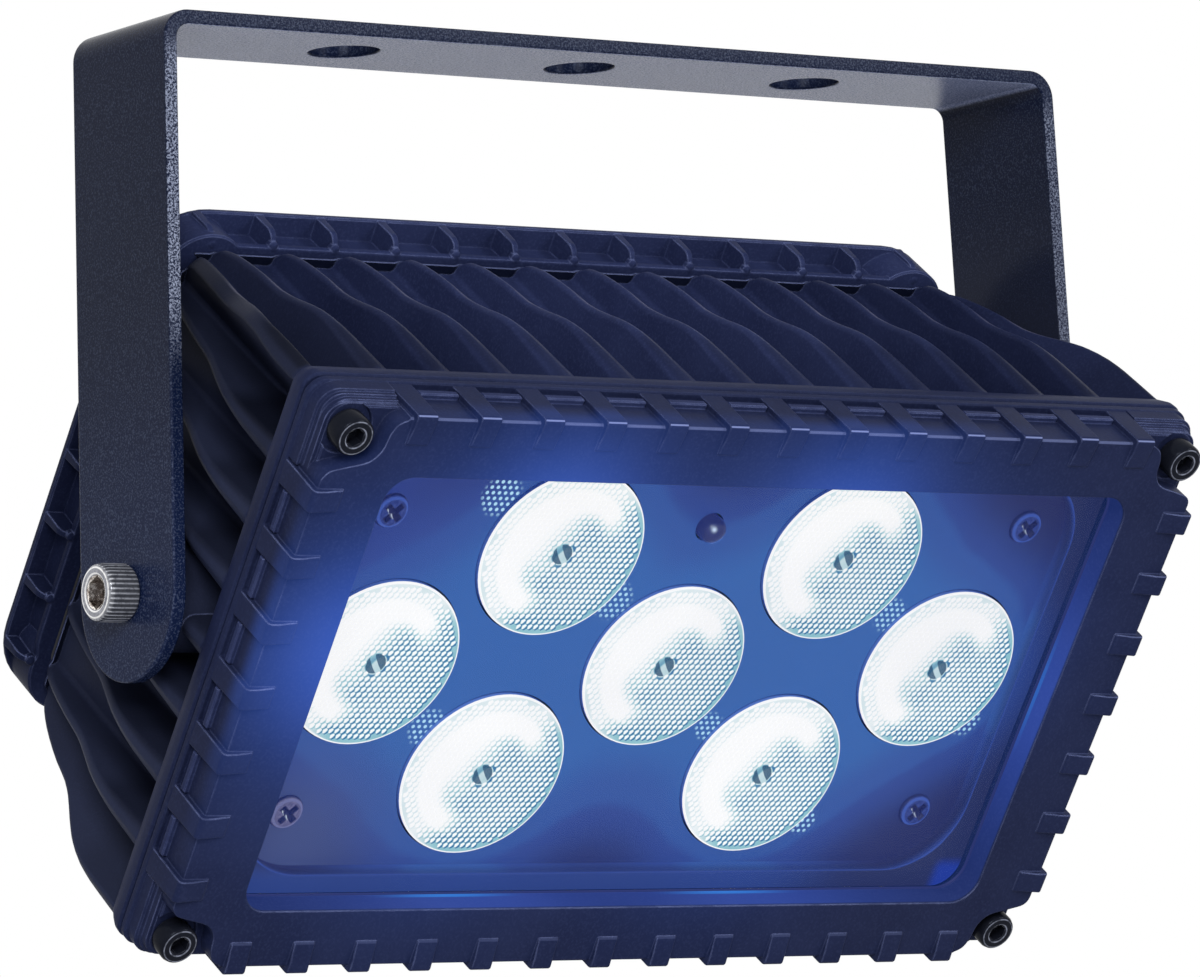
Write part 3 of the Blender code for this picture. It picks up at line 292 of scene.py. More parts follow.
def cast_coat(name, lit=False, painted_light_gain=1):
    """Navy satin powder coat over cast aluminium, with worn edges that carry painted highlights, painted light
    and shade over fins and cover, and, where lit, a painted blue glow of the lenses.
    """
    finish = Finish(name, Specular_IOR_Level=0.035, Specular_Tint=(0.55, 0.65, 1, 1))
    x, y, z = finish.axes()
    patches = finish.noise(0.045, 4)
    grain = finish.noise(1.9, 2)
    edge, rounded = finish.wear_and_highlight_edges(0.4)
    among_fins = y.ramp(-18, -16) * y.ramp(39, 37)
    on_cover = y.ramp(39.2, 39.8)
    upper = finish.facing(0, -0.15, 0.98)

    # Edges worn and lit with painted highlights: brightest where they look up and to the front, stronger among
    # the fins, fainter at the joint of bezel and housing and where they look down or to the left
    joint = y.ramp(-23.7, -23.5) * y.ramp(-16.5, -17.5) * (1 - y.ramp(-22.4, -22.2) * y.ramp(-21.9, -22))
    rubbed_and_highlit = edge * finish.noise(0.35, 3).ramp(0.3, 0.62, 0.45, 1)
    rubbed_and_highlit = rubbed_and_highlit * finish.turned_to(rounded, -0.35, -0.45, 0.82).ramp(0.25, 0.85, 0.14, 1)
    rubbed_and_highlit = (rubbed_and_highlit * (1 - joint * 0.8) * (among_fins * 0.8 + 1)).least(1)
    to_left = finish.turned_to(rounded, -1, 0, 0).ramp(0.25, 0.5)
    rubbed_and_highlit = rubbed_and_highlit * (1 - z.ramp(51, 53) * to_left * 0.65)
    # Painted highlight on the rounded noses of the blocks and on the face's front edge where they look up and
    # to the front, strongest on the top row
    slant = finish.facing(0, -0.72, 0.7)
    nose = (slant.ramp(0.972, 0.998) * z.above(54.2)
            + slant.ramp(0.8, 0.97) * z.below(54.2) * z.above(0) * 0.5
            + slant.ramp(0.9, 0.99) * z.below(0) * 0.12) * y.ramp(-32, -32.5)

    # Body colour: fine grain; greyer fins on the left, where the coat takes less painted blue light; painted
    # light and shade over the fins and the cover, and a painted highlight along the top fins' crests
    body = finish.blend(patches.ramp(0.3, 0.7), (0.0125, 0.017, 0.05), (0.017, 0.023, 0.065))
    body = body.mix(grain.ramp(0.45, 0.75) * 0.4, (0.03, 0.04, 0.098))
    body = body.mix(among_fins * x.ramp(-70, -84) * 0.6, (0.0215, 0.0255, 0.044))
    # Painted light: brighter in the upper pits, on the left fins' outer edge and on the cover's upper front
    painted_light_upper_pits = among_fins * z.ramp(36, 42) * x.ramp(80, 10) * x.ramp(-75, -30)
    painted_light_left_rim = among_fins * x.ramp(-84, -88)
    body = body.scaled((painted_light_upper_pits * 0.7 + painted_light_left_rim * 0.25 + on_cover * z.ramp(20, 40) * 0.5 + 1) * painted_light_gain)
    # Painted shade: darker on the fins' upward faces near the flange, in their upper left corner and on the
    # cover's left side
    painted_shade_upward = among_fins * upper.ramp(0.4, 0.9) * y.ramp(3, -5)
    corner = among_fins * x.ramp(-79, -82) * z.ramp(30, 36)
    painted_shade_cover_left = on_cover * x.ramp(-80, -84)
    body = body.scaled(1 - painted_shade_upward * 0.4 - corner * 0.35 - painted_shade_cover_left * 0.3)
    # Painted shade: a near-black sheet on the faces between the fins' ends and the cover
    painted_shade_behind_fin_ends = y.ramp(36.9, 37.2) * y.ramp(39, 38.6) * finish.facing(0, -1, 0).ramp(0.3, 0.7)
    body = body.mix(painted_shade_behind_fin_ends * 0.85, (0.002, 0.003, 0.008))
    # Painted highlight along the flatter middle of the top fins' crests
    painted_crest_highlight = among_fins * upper.ramp(0.86, 0.98) * z.ramp(46, 47.5) * y.ramp(5, 12) * y.ramp(24, 14)
    body = body.mix(painted_crest_highlight * patches.ramp(0.3, 0.6, 0.5, 1) * 0.75, (0.15, 0.15, 0.23))
    body = body.mix(rubbed_and_highlit.most(nose * 0.8), (0.225, 0.27, 0.52))
    finish.feed(Base_Color=body, Roughness=(patches * 0.12 + grain * 0.16 + 0.3) - rubbed_and_highlit * 0.06,
                Normal=finish.bumped(grain, 0.05, 0.6, rounded))
    if lit:
        # Painted light: a blue glow of the lenses on the face round the window, on the window wall and in the
        # rabbet, and a painted cyan highlight along the wall's back edge
        near = lens_light(x, z, 15, -13, 9.5) * 0.5 + lens_light(x, z, 26, -15, 10) * 0.14
        halo = near / (near * 0.8 + 1) * y.ramp(-28, -32.5) * (1 - edge * 0.3)
        wall = abs(x).ramp(79.3, 78.95) * abs(z).ramp(43.3, 42.95) * y.ramp(-32.9, -32.3)
        lit_wall = lens_light(x, z, 24) * 0.34 + 0.085
        rabbet = y.ramp(-28.1, -27.9) * abs(x).below(83) * abs(z).below(47)
        glow = halo * (1 - wall) + (wall * lit_wall).most(rabbet * 0.07)
        painted_wall_edge_highlight = wall * y.ramp(-29.4, -29) * lens_light(x, z, 17, -4)
        colour = finish.blend(wall, (0.065, 0.2, 1), (0.07, 0.18, 1)).scaled(glow)
        finish.feed(Emission_Color=colour.mix(painted_wall_edge_highlight.ramp(0.08, 0.34), (0.02, 0.22, 0.72)),
                    Emission_Strength=1)
    return finish.material


def bracket_coat():
    """Wrinkle powder coat: dark with brighter crests, painted highlights on the strip's front edges, painted
    light on the right leg and a painted reflection of the floor under its bar.
    """
    finish = Finish("wrinkle_powder_coat", Specular_IOR_Level=0.06, Specular_Tint=(0.75, 0.82, 1, 1))
    x, y, z = finish.axes()
    wrinkle = finish.noise(2.8, 2, 0.6, 0.3)
    fine = finish.noise(2.8, 3, 0.65, 0.6)
    edge, rounded = finish.wear_and_highlight_edges(0.4)
    crest = wrinkle.ramp(0.5, 0.64)
    beneath = finish.facing(0, 0, -1).ramp(0.7, 0.95) * z.ramp(-10, -6)
    # Painted highlights on the strip's front and back faces and, with wear, on its edges
    strip_edge_highlight = abs(finish.facing(0, 1, 0)).ramp(0.25, 0.8) * abs(y).ramp(14.2, 14.6)
    strip_edge_highlight = strip_edge_highlight * x.ramp(60, 90, 1, 0.55)
    strip_edge_highlight = strip_edge_highlight * z.ramp(-64, -46) * z.ramp(-10, -3, 1, 0.1)
    rim = (strip_edge_highlight + edge * 0.85).least(1)
    # Painted light that lifts the right leg
    painted_light_right_leg = x.ramp(60, 90) * z.ramp(-18, -50)
    body = finish.blend(finish.noise(0.03, 3), (0.003, 0.0062, 0.0235), (0.0046, 0.0086, 0.03))
    # Lighter towards the legs' ends, up to 1.8 times
    body = body.mix(crest * 0.72, (0.034, 0.045, 0.084)).scaled(z.ramp(-45, -95, 1, 1.8))
    body = body.mix(painted_light_right_leg * (crest * -0.3 + 0.9), (0.0235, 0.0275, 0.05))
    body = body.mix(rim * fine.ramp(0.44, 0.6), (0.27, 0.305, 0.42))
    # Painted reflection of the white floor on the faces under the bar
    painted_floor_reflection = finish.blend(fine.ramp(0.38, 0.62), (0.185, 0.24, 0.45), (0.56, 0.62, 0.88))
    relief = (wrinkle * 0.8 + fine * 0.3) * (beneath * 2 + 1)
    return finish.feed(Base_Color=body.mix(beneath * 0.92, painted_floor_reflection), Roughness=wrinkle * 0.1 + 0.16,
                       Normal=finish.bumped(relief, 0.06, 0.5, rounded))


def bright_steel():
    """Zinc-plated socket screw, own axis Z: mottled crown, painted highlights on its edges, rings and knurl
    ridges, a painted reflection in its socket, and a dull knurl.
    """
    finish = Finish("bright_zinc_steel")
    x, y, z = finish.axes()
    from_axis = x.beside(y)
    marks = finish.noise(1.2, 5, 0.7)
    edge, rounded = finish.wear_and_highlight_edges(0.2)
    socket = from_axis.ramp(3, 2.85) * z.ramp(2.3, 2.6)
    # Painted highlights: rings on the crown and round the socket, with the edges
    rings = abs(from_axis - 4.25).ramp(0.2, 0.08) + abs(from_axis - 3.22).ramp(0.2, 0.08)
    bright = (edge + rings * z.ramp(5.3, 5.6)).least(1) * marks.ramp(0.3, 0.45, 0.5, 1)
    knurled = from_axis.ramp(4.55, 4.75)
    # Painted highlights on the knurl's ridges
    ridges = (x.math("ARCTAN2", y) * 36).math("COSINE").ramp(0.1, 0.8) * knurled
    body = finish.blend(marks.ramp(0.3, 0.7), (0.17, 0.175, 0.2), (0.38, 0.39, 0.43))
    body = body.mix(bright, (0.9, 0.9, 0.9)).mix(knurled * 0.75, (0.06, 0.065, 0.08))
    body = body.mix(ridges * marks.ramp(0.3, 0.55, 0.3, 1), (0.62, 0.64, 0.7))
    # Painted reflection in the socket, mottled from dark to warm white
    body = body.mix(socket, finish.blend(marks.ramp(0.44, 0.58), (0.3, 0.25, 0.22), (1, 0.96, 0.9)))
    return finish.feed(Base_Color=body, Roughness=marks * 0.16 + 0.12, Metallic=knurled * -0.45 + 1,
                       Normal=finish.bumped(marks, 0.03, 0.4, rounded))


def black_steel():
    """Black oxide socket screw, own axis Y: glossy with oil, its crown's and socket's rims worn and given
    painted highlights, with a painted glint on the crown.
    """
    finish = Finish("black_oxide_steel", Specular_IOR_Level=0.06, Specular_Tint=(0.7, 0.8, 1, 1))
    x, y, z = finish.axes()
    from_axis = x.beside(z)
    marks = finish.noise(1.4, 4, 0.65)
    edge, rounded = finish.wear_and_highlight_edges(0.2)
    # Painted highlight rings on the crown's and the socket's rims
    rings = abs(from_axis - 3.02).ramp(0.16, 0.05) * 0.8 + abs(from_axis - 1.93).ramp(0.16, 0.05)
    rubbed_and_highlit = (edge * 0.5 + rings * abs(y).ramp(3.3, 3.6)).least(1)
    body = finish.blend(marks, (0.005, 0.006, 0.011), (0.01, 0.0115, 0.018))
    body = body.mix(rubbed_and_highlit * finish.noise(0.5, 2).ramp(0.36, 0.6, 0.12, 1), (0.26, 0.28, 0.36))
    # Painted glint on the crown
    return finish.feed(Base_Color=body.mix(spot(x, z, -0.9, 0.7, 0.4) * 0.9, (0.8, 0.84, 0.95)),
                       Roughness=marks * 0.16 + 0.1, Normal=finish.bumped(marks, 0.03, 0.35, rounded))


def mask_screw_steel(name, low, high, rim):
    """Screw behind the glass, glowing with the lenses' painted light: painted highlight ring, painted shade in
    its cross and round its head, small painted glints.
    """
    finish = Finish(name, Emission_Strength=1, Specular_IOR_Level=0.06)
    x, z = finish.axes("XZ")
    from_middle = x.beside(z)
    marks = finish.noise(1.6, 4)
    slots = abs(x).least(abs(z)).ramp(0.72, 0.55) * from_middle.ramp(2.25, 2)
    # Painted light of the lenses as emission, with a painted highlight ring and painted shade round the head
    # and in the cross recess
    glow = finish.blend(marks.ramp(0.35, 0.65), low, high)
    glow = glow.mix(abs(from_middle - 2.75).ramp(0.34, 0.12), rim)
    glow = glow.mix(from_middle.ramp(3, 3.2), (0.01, 0.016, 0.09)).mix(slots, (0.008, 0.012, 0.075))
    # Painted glints
    glints = spot(x, z, -0.6, -0.5, 0.22) + spot(x, z, 0.7, -0.5, 0.2) + spot(x, z, -0.2, 0.9, 0.16)
    return finish.feed(Base_Color=finish.blend(marks, (0.006, 0.008, 0.03), (0.012, 0.016, 0.05)),
                       Roughness=marks * 0.2 + 0.15,
                       Emission_Color=glow.mix(glints.least(1), (0.7, 0.8, 0.95)))


def plain(name, grain, low, high, rough=None, relief=None, alpha=None, glow=None, shade=None, **fixed):
    """Simple finish: grain sets how far its colour goes from low to high, and its other values where given."""
    finish = Finish(name, **fixed)
    marks = finish.noise(*grain)
    finish.feed(Base_Color=finish.blend(shade(finish) if shade else marks, low, high))
    if rough:
        finish.feed(Roughness=marks * rough[0] + rough[1])
    if relief:
        finish.feed(Normal=finish.bumped(marks, *relief))
    if alpha:
        finish.feed(Alpha=marks.ramp(*alpha))
    if glow:
        finish.feed(Emission_Color=finish.blend(marks, *glow))
    return finish.material


def lens_crown():
    """Lit honeycomb lens: white, with painted blue-green shade on the cells of the far side and a dark barred
    mark.
    """
    finish = Finish("lit_honeycomb_lens", Base_Color=(0.01, 0.015, 0.02, 1), Roughness=0.2,
                    Specular_IOR_Level=0.15, Emission_Strength=1)
    x, y, z = finish.axes()
    from_middle = x.beside(z)
    away = (x * 0.8 - z * 0.6) / LENS_RADIUS
    cloud = finish.noise(0.13, 2)
    inner = from_middle.ramp(10.4, 6.4)
    outer = from_middle.ramp(11.9, 13.4)
    between = (1 - inner) * (1 - outer)
    cells = inner * away.ramp(-0.5, 0.2) * 0.82 + between * away.ramp(0.05, 0.45) * 0.85 \
        + outer * (away.ramp(-0.1, 0.55) + 0.2)
    # Painted shade: cells darker on their sides that look down and to the right, and in the grooves, more so
    # towards the lower right of the lens
    groove = y.ramp(LENS_FRONT - 0.1, LENS_FRONT - 0.02)
    shade = (finish.facing(0.8, 0, -0.6).ramp(-0.1, 0.2) + groove * 0.4).least(1)
    amount = (cells * (cloud + 0.5)).most(0) * shade * from_middle.ramp(15.95, 15.75)
    colour = finish.blend(amount.ramp(0, 0.46), (1.04, 1.04, 1.04), (0.3, 0.58, 0.65))
    colour = colour.mix(amount.ramp(0.42, 0.8), (0.01, 0.15, 0.36))
    bar = abs(x * 0.83 + z * 0.55).below(0.55)
    mark = from_middle.below(1.95) * (1 - bar)
    return finish.feed(Emission_Color=colour.mix(mark * (cloud * 0.3 + 0.75), (0.008, 0.07, 0.15)))


def lens_side():
    """Clear moulded side of a lens, white near its face and deep blue behind."""
    finish = Finish("lens_side", Base_Color=(0.1, 0.2, 0.5, 1), Roughness=0.2, Emission_Strength=1)
    depth = finish.axes("Y")[0].ramp(LENS_FRONT + 0.02, LENS_FRONT + 0.2)
    return finish.feed(Emission_Color=finish.blend(depth, (1, 1.04, 1.05), (0.008, 0.022, 0.11)))


def blue_light(finish, light):
    """Colour of a dark surface behind the glass for the light that it gets."""
    colour = finish.blend(light.ramp(0.08, 0.44), (0.018, 0.024, 0.105), (0.027, 0.06, 0.262))
    return colour.mix(light.ramp(0.43, 0.53), (0.033, 0.092, 0.335)) \
        .mix(light.ramp(0.58, 0.95), (0.034, 0.125, 0.4))


def hex_dots(x, z, pitch, radius):
    """Dots in staggered rows: 1 inside a dot, 0 between them."""
    def nearest(half):
        across, up = [((axis / apart + half + 100).math("FRACT") - 0.5) * apart
                      for axis, apart in ((x, pitch), (z, pitch * math.sqrt(3)))]
        return across.beside(up)
    return nearest(0).least(nearest(0.5)).ramp(radius, radius * 0.65)


def mask_paint():
    """Mask plate in navy paint, lit blue round the lenses, with small ghost lights of their cells."""
    finish = Finish("lit_mask_paint", Specular_IOR_Level=0.08, Emission_Strength=1)
    x, y, z = finish.axes()
    grain = finish.noise(2.2, 2)
    ghosts = sum(spot(x, z, *light) for light in GHOST_LIGHTS).ramp(0.3, 0.6)
    colour = blue_light(finish, lens_light(x, z, 22) * (finish.noise(0.05) * 0.4 + 0.82))
    # Painted light: two broad patches of the lenses' light on the left, low and high
    colour = colour.mix(spot(x, z, -64, -36, 16) * 0.8, (0.06, 0.085, 0.22))
    colour = colour.mix(spot(x, z, -72, 36, 20) * 0.8, (0.024, 0.052, 0.27))
    # Painted shade on the plate's sides and the walls of its holes
    colour = colour.mix(y.ramp(MASK_FRONT + 0.1, MASK_FRONT + 0.3), (0.008, 0.016, 0.08))
    colour = colour.mix(hex_dots(x, z, 1.25, 0.42) * ghosts, (0.45, 0.75, 0.95))
    return finish.feed(Base_Color=finish.blend(grain, (0.006, 0.009, 0.03), (0.01, 0.015, 0.048)),
                       Emission_Color=colour.scaled(grain * 0.06 + 0.97), Roughness=grain * 0.15 + 0.35)


def lit_rubber():
    """Window seal in the lenses' light: dim on its face, bright in its corners and along its lip."""
    finish = Finish("lit_rubber", Specular_IOR_Level=0.08, Emission_Strength=1)
    x, y, z = finish.axes()
    grain = finish.noise(1.5, 2)
    ahead = finish.facing(0, -1, 0)
    light = lens_light(x, z, 24)
    side = blue_light(finish, light).scaled(y.ramp(-24.2, -21.4) * 0.45 + 0.55)
    dim = finish.blend(z.ramp(-37, -42) * x.ramp(62, 30), (0.021, 0.03, 0.105), (0.026, 0.054, 0.225))
    face = dim.mix(light.ramp(0.2, 0.75), (0.026, 0.062, 0.27))
    face = face.mix(abs(x).ramp(74, 77) * abs(z).ramp(38, 41), (0.017, 0.045, 0.33))
    seal = side.mix(ahead.ramp(0.35, 0.85), face)
    seal = seal.mix(ahead.ramp(0.1, 0.35) * ahead.ramp(0.97, 0.85), (0.032, 0.068, 0.31))
    return finish.feed(Base_Color=finish.blend(grain, (0.004, 0.006, 0.016), (0.008, 0.01, 0.026)),
                       Roughness=grain * 0.2 + 0.4,
                       Emission_Color=finish.blend(y.ramp(-27, -26), (0.02, 0.03, 0.135), seal))


def board_lacquer():
    """Circuit board lacquer with copper tracks under it."""
    finish = Finish("board_lacquer", Coat_Weight=0.3)
    tracks = finish.node("ShaderNodeTexBrick", {"Vector": finish.where, "Scale": 0.5, "Mortar Size": 0.06},
                         "Fac", offset=0.5)
    grain = finish.noise(1.5)
    shade = tracks * 0.6 + grain * 0.2
    return finish.feed(Base_Color=finish.blend(shade, (0.01, 0.06, 0.022), (0.05, 0.16, 0.05)),
                       Roughness=grain * 0.15 + 0.3, Normal=finish.bumped(tracks, 0.04, 0.5))


def dark_plastic():
    """Moulded nylon with a fine spark texture."""
    finish = Finish("black_nylon", Specular_IOR_Level=0.45)
    spark = finish.noise(2.4, 4)
    edge, rounded = finish.wear_and_highlight_edges(0.3)
    shade = finish.noise(0.1) * 0.6 + edge * 0.4
    return finish.feed(Base_Color=finish.blend(shade, (0.012, 0.012, 0.015), (0.035, 0.035, 0.042)),
                       Roughness=spark * 0.2 + 0.38, Normal=finish.bumped(spark, 0.04, 0.5, rounded))


def sensor_lens():
    """Dark receiver window in blue light, with a glint and a lit crescent."""
    finish = Finish("dark_receiver_window", Roughness=0.08, Emission_Strength=1, Specular_IOR_Level=0.25)
    x, z = finish.axes("XZ")
    side = finish.facing(0.6, -0.2, -0.8).ramp(0.3, 0.75)
    glow = finish.blend(side, (0.014, 0.022, 0.12), (0.045, 0.12, 0.42))
    return finish.feed(Base_Color=finish.blend(finish.noise(0.6), (0.006, 0.008, 0.03), (0.012, 0.016, 0.05)),
                       Emission_Color=glow.mix(spot(x, z, -1, 1, 0.45), (0.6, 0.75, 0.95)))


def copper():
    """Enamelled copper wire, wound in even turns."""
    finish = Finish("enamelled_copper", Metallic=1, Coat_Weight=0.4)
    turns = finish.node("ShaderNodeTexWave", {"Vector": finish.where, "Scale": 0.6}, "Fac", bands_direction="Z")
    return finish.feed(Base_Color=finish.blend(turns, (0.22, 0.07, 0.03), (0.6, 0.26, 0.12)),
                       Roughness=turns * -0.15 + 0.4, Normal=finish.bumped(turns, 0.2))


FINISHES = {
    "black_powder_coat": bracket_coat(),
    "navy_cast_coat": cast_coat("navy_cast_coat"),
    "zinc_steel": bright_steel(),
    "black_oxide_steel": black_steel(),
    "black_rubber": plain("moulded_rubber", (2.2,), (0.01, 0.01, 0.012), (0.022, 0.022, 0.026), (0.2, 0.58),
                          (0.05, 0.5), shade=lambda finish: finish.noise(0.08, 4).ramp(0.4, 0.75),
                          Sheen_Weight=0.15, Specular_IOR_Level=0.35),
    "fibre_washer": plain("pressed_fibre", (1.1, 6, 0.75, 1.5), (0.02, 0.014, 0.012), (0.075, 0.045, 0.03),
                          (0.2, 0.7), (0.08, 0.6), Specular_IOR_Level=0.3),
    "clear_glass": plain("clear_flat_glass", (0.025, 5, 0.6), (0.02, 0.05, 0.2), (0.05, 0.09, 0.28),
                         (0.05, 0.02), alpha=(0.3, 0.8, 0.05, 0.1), IOR=1.5),
    "moulded_lens": lens_crown(),
    "navy_mask_paint": mask_paint(),
    "led_emitter": plain("led_dome", (2,), (0.7, 0.7, 0.6), (0.9, 0.9, 0.8),
                         glow=((0.6, 0.8, 1.2), (0.9, 1.1, 1.4)), Roughness=0.2, Emission_Strength=1),
    "board_lacquer": board_lacquer(),
    "dark_plastic": dark_plastic(),
    "wound_copper": copper(),
    "capacitor_sleeve": plain("shrink_sleeve", (0.8,), (0.015, 0.025, 0.09), (0.25, 0.27, 0.3), (0.2, 0.25),
                              (0.04, 0.4), shade=lambda finish: abs(finish.axes("X")[0] - 28).below(2),
                              Coat_Weight=0.2),
}
SMOKED_ACRYLIC = plain("smoked_acrylic", (0.2, 4), (0.01, 0.004, 0.004), (0.03, 0.01, 0.009), (0.1, 0.04),
                       alpha=(0.2, 0.8, 0.45, 0.6), Specular_IOR_Level=0.6)
UNLIT_SEGMENT = plain("unlit_segment", (1,), (0.3, 0.06, 0.05), (0.42, 0.1, 0.08), (0.2, 0.4),
                      glow=((0.35, 0.02, 0.01), (0.6, 0.04, 0.02)), Emission_Strength=0.5)


# Shapes

def loft(name, rings, closed=False):
    """Quads between rings of equally many points. Closed joins the last ring to the first."""
    mesh = bpy.data.meshes.new(name)
    edit = bmesh.new()
    lofted = [[edit.verts.new([value * MM for value in point]) for point in ring] for ring in rings]
    for ring, after in zip(lofted, lofted[1:] + lofted[:1] if closed else lofted[1:]):
        for i, vert in enumerate(ring):
            j = (i + 1) % len(ring)
            edit.faces.new((vert, ring[j], after[j], after[i]))
    if not closed:
        edit.faces.new(lofted[0])
        edit.faces.new(lofted[-1])
    return written(edit, mesh)


def written(edit, mesh):
    """Closes an edit into a mesh, with its normals outward."""
    bmesh.ops.recalc_face_normals(edit, faces=edit.faces)
    edit.to_mesh(mesh)
    edit.free()
    return mesh


def ring_points(radius, centre=(0, 0), steps=72):
    return [(centre[0] + radius * math.cos(TAU * i / steps), centre[1] + radius * math.sin(TAU * i / steps))
            for i in range(steps)]


def round_rect(half, radius, steps=8):
    """Points of a rectangle with rounded corners, from the top right corner round by the left."""
    points = []
    for corner, (side, up) in enumerate(((1, 1), (-1, 1), (-1, -1), (1, -1))):
        for i in range(steps + 1):
            angle = math.radians(90 * corner + 90 * i / steps)
            points.append((side * (half[0] - radius) + radius * math.cos(angle),
                           up * (half[1] - radius) + radius * math.sin(angle)))
    return points


def at_depth(points, depth):
    return [(x, depth, z) for x, z in points]


def frame_rings(stations, steps=8):
    """Rounded rectangles at depths: (depth, half size, corner radius) each."""
    return [at_depth(round_rect(half, radius, steps), depth) for depth, half, radius in stations]


def inset(half, by):
    """A half size drawn in by the same amount both ways."""
    return (half[0] - by, half[1] - by)


def settled(thing):
    """The mesh of an object with its modifiers carried out; the object goes."""
    bpy.context.scene.collection.objects.link(thing)
    bpy.context.view_layer.update()
    seen = thing.evaluated_get(bpy.context.evaluated_depsgraph_get())
    mesh = bpy.data.meshes.new_from_object(seen)
    bpy.data.objects.remove(thing)
    return mesh


def prism(name, outlines, low, high):
    """Outlines in X and Z (the first outside, the rest holes) extruded along Y."""
    curve = bpy.data.curves.new(name, "CURVE")
    curve.dimensions = "2D"
    curve.fill_mode = "BOTH"
    curve.extrude = (high - low) / 2 * MM
    for outline in outlines:
        spline = curve.splines.new("POLY")
        spline.points.add(len(outline) - 1)
        for point, (across, up) in zip(spline.points, outline):
            point.co = (across * MM, up * MM, 0, 1)
        spline.use_cyclic_u = True
    mesh = settled(bpy.data.objects.new(name, curve))
    mesh.transform(shift(y=(low + high) / 2) @ TO_FRONT)
    edit = bmesh.new()
    edit.from_mesh(mesh)
    bmesh.ops.remove_doubles(edit, verts=edit.verts, dist=0.001 * MM)
    if len(outlines) == 1:
        bmesh.ops.dissolve_limit(edit, angle_limit=0.001, verts=edit.verts, edges=edit.edges)
    return written(edit, mesh)


def carve(mesh, tools, operation="DIFFERENCE"):
    """Cuts, joins or meets a mesh with tool meshes."""
    target = bpy.data.objects.new("blank", mesh)
    cutter = bpy.data.objects.new("tool", together("tools", tools))
    bpy.context.scene.collection.objects.link(cutter)
    change = target.modifiers.new("cut", "BOOLEAN")
    change.operation = operation
    change.solver = "EXACT"
    change.object = cutter
    result = settled(target)
    bpy.data.objects.remove(cutter)
    return result


def together(name, meshes):
    """Several shapes as one mesh."""
    edit = bmesh.new()
    for mesh in meshes:
        edit.from_mesh(mesh)
    joined = bpy.data.meshes.new(name)
    edit.to_mesh(joined)
    edit.free()
    return joined


def bevelled(mesh, width, segments=2, angle=40):
    """The mesh with its sharp edges rounded."""
    thing = bpy.data.objects.new("bevelled", mesh)
    bevel = thing.modifiers.new("edges", "BEVEL")
    bevel.width = width * MM
    bevel.segments = segments
    bevel.limit_method = "ANGLE"
    bevel.angle_limit = math.radians(angle)
    return settled(thing)


def moved(mesh, matrix):
    mesh.transform(matrix)
    return mesh


def smooth(mesh, angle=35):
    """Shades curves smooth and keeps sharp edges."""
    mesh.shade_smooth()
    mesh.set_sharp_from_angle(angle=math.radians(angle))
    return mesh


def dress(name, mesh, nodes, finish=None, body="lamp", axes=LAMP):
    """Sets a mesh down in place of the CAD nodes that it stands for."""
    slot = SLOT[nodes[0]]
    if not mesh.materials:
        mesh.materials.append(finish or FINISHES[slot])
    piece = bpy.data.objects.new(name, mesh)
    bpy.context.scene.collection.objects.link(piece)
    piece.matrix_world = axes
    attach(piece, body)
    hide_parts(*nodes)
    return piece


def even_normals(piece):
    """Keeps big flat faces flat beside small rounded ones."""
    piece.modifiers.new("flat_faces", "WEIGHTED_NORMAL").keep_sharp = True


def four_corners(spot):
    """The four mirror images of a spot, by name."""
    return {f"{up_name}_{side_name}": (side * spot[0], up * spot[1])
            for up_name, up in (("top", 1), ("bottom", -1))
            for side_name, side in (("left", -1), ("right", 1))}


def row(count, pitch):
    """Evenly spaced places about the middle."""
    return [(i - (count - 1) / 2) * pitch for i in range(count)]


# The edges with blocks and gussets: which half size, how many places, and the turn from the top edge
EDGES = ((1, FINS_ACROSS, 0), (0, FINS_UP, math.pi / 2))


def along_edges(shape, count, turn):
    """Copies of a shape made for the top edge, at every pitch of an edge and of the one opposite."""
    return [moved(shape.copy(), Matrix.Rotation(side + turn, 4, "Y") @ shift(across))
            for side in (0, math.pi) for across in row(count, PITCH)]


def eased(points, where):
    """A smooth line through (place, value...) points that doesn't overshoot."""
    i = next((k for k in range(len(points) - 1) if where <= points[k + 1][0]), len(points) - 2)
    before, after = points[i], points[i + 1]
    span = after[0] - before[0]
    t = min(1, max(0, (where - before[0]) / span))

    def slope(k, column):
        if k in (0, len(points) - 1):
            return 0
        left, right = [(points[n + 1][column] - points[n][column]) / (points[n + 1][0] - points[n][0])
                       for n in (k - 1, k)]
        return 0 if left * right <= 0 else 2 * left * right / (left + right)

    return [(2 * t**3 - 3 * t**2 + 1) * before[column] + (t**3 - 2 * t**2 + t) * slope(i, column) * span
            + (3 * t**2 - 2 * t**3) * after[column] + (t**3 - t**2) * slope(i + 1, column) * span
            for column in range(1, len(before))]


def corner_arc(before, here, after, radius, steps):
    """Points of the arc that rounds one corner of an outline."""
    here = Vector(here)
    back, ahead = Vector(before) - here, Vector(after) - here
    reach = min(back.length, ahead.length) * 0.48
    back.normalize()
    ahead.normalize()
    half = back.angle(ahead) / 2
    nearly_straight = half > math.radians(88.5)
    if nearly_straight:
        run = min(radius, reach) * 0.5
        return [here + back * run * (1 - 2 * j / steps) for j in range(steps + 1)]
    run = min(radius / math.tan(half), reach)
    true_radius = run * math.tan(half)
    centre = here + (back + ahead).normalized() * true_radius / math.sin(half)
    first, last = (here + back * run - centre).normalized(), (here + ahead * run - centre).normalized()
    return [centre + first.slerp(last, j / steps) * true_radius for j in range(steps + 1)]


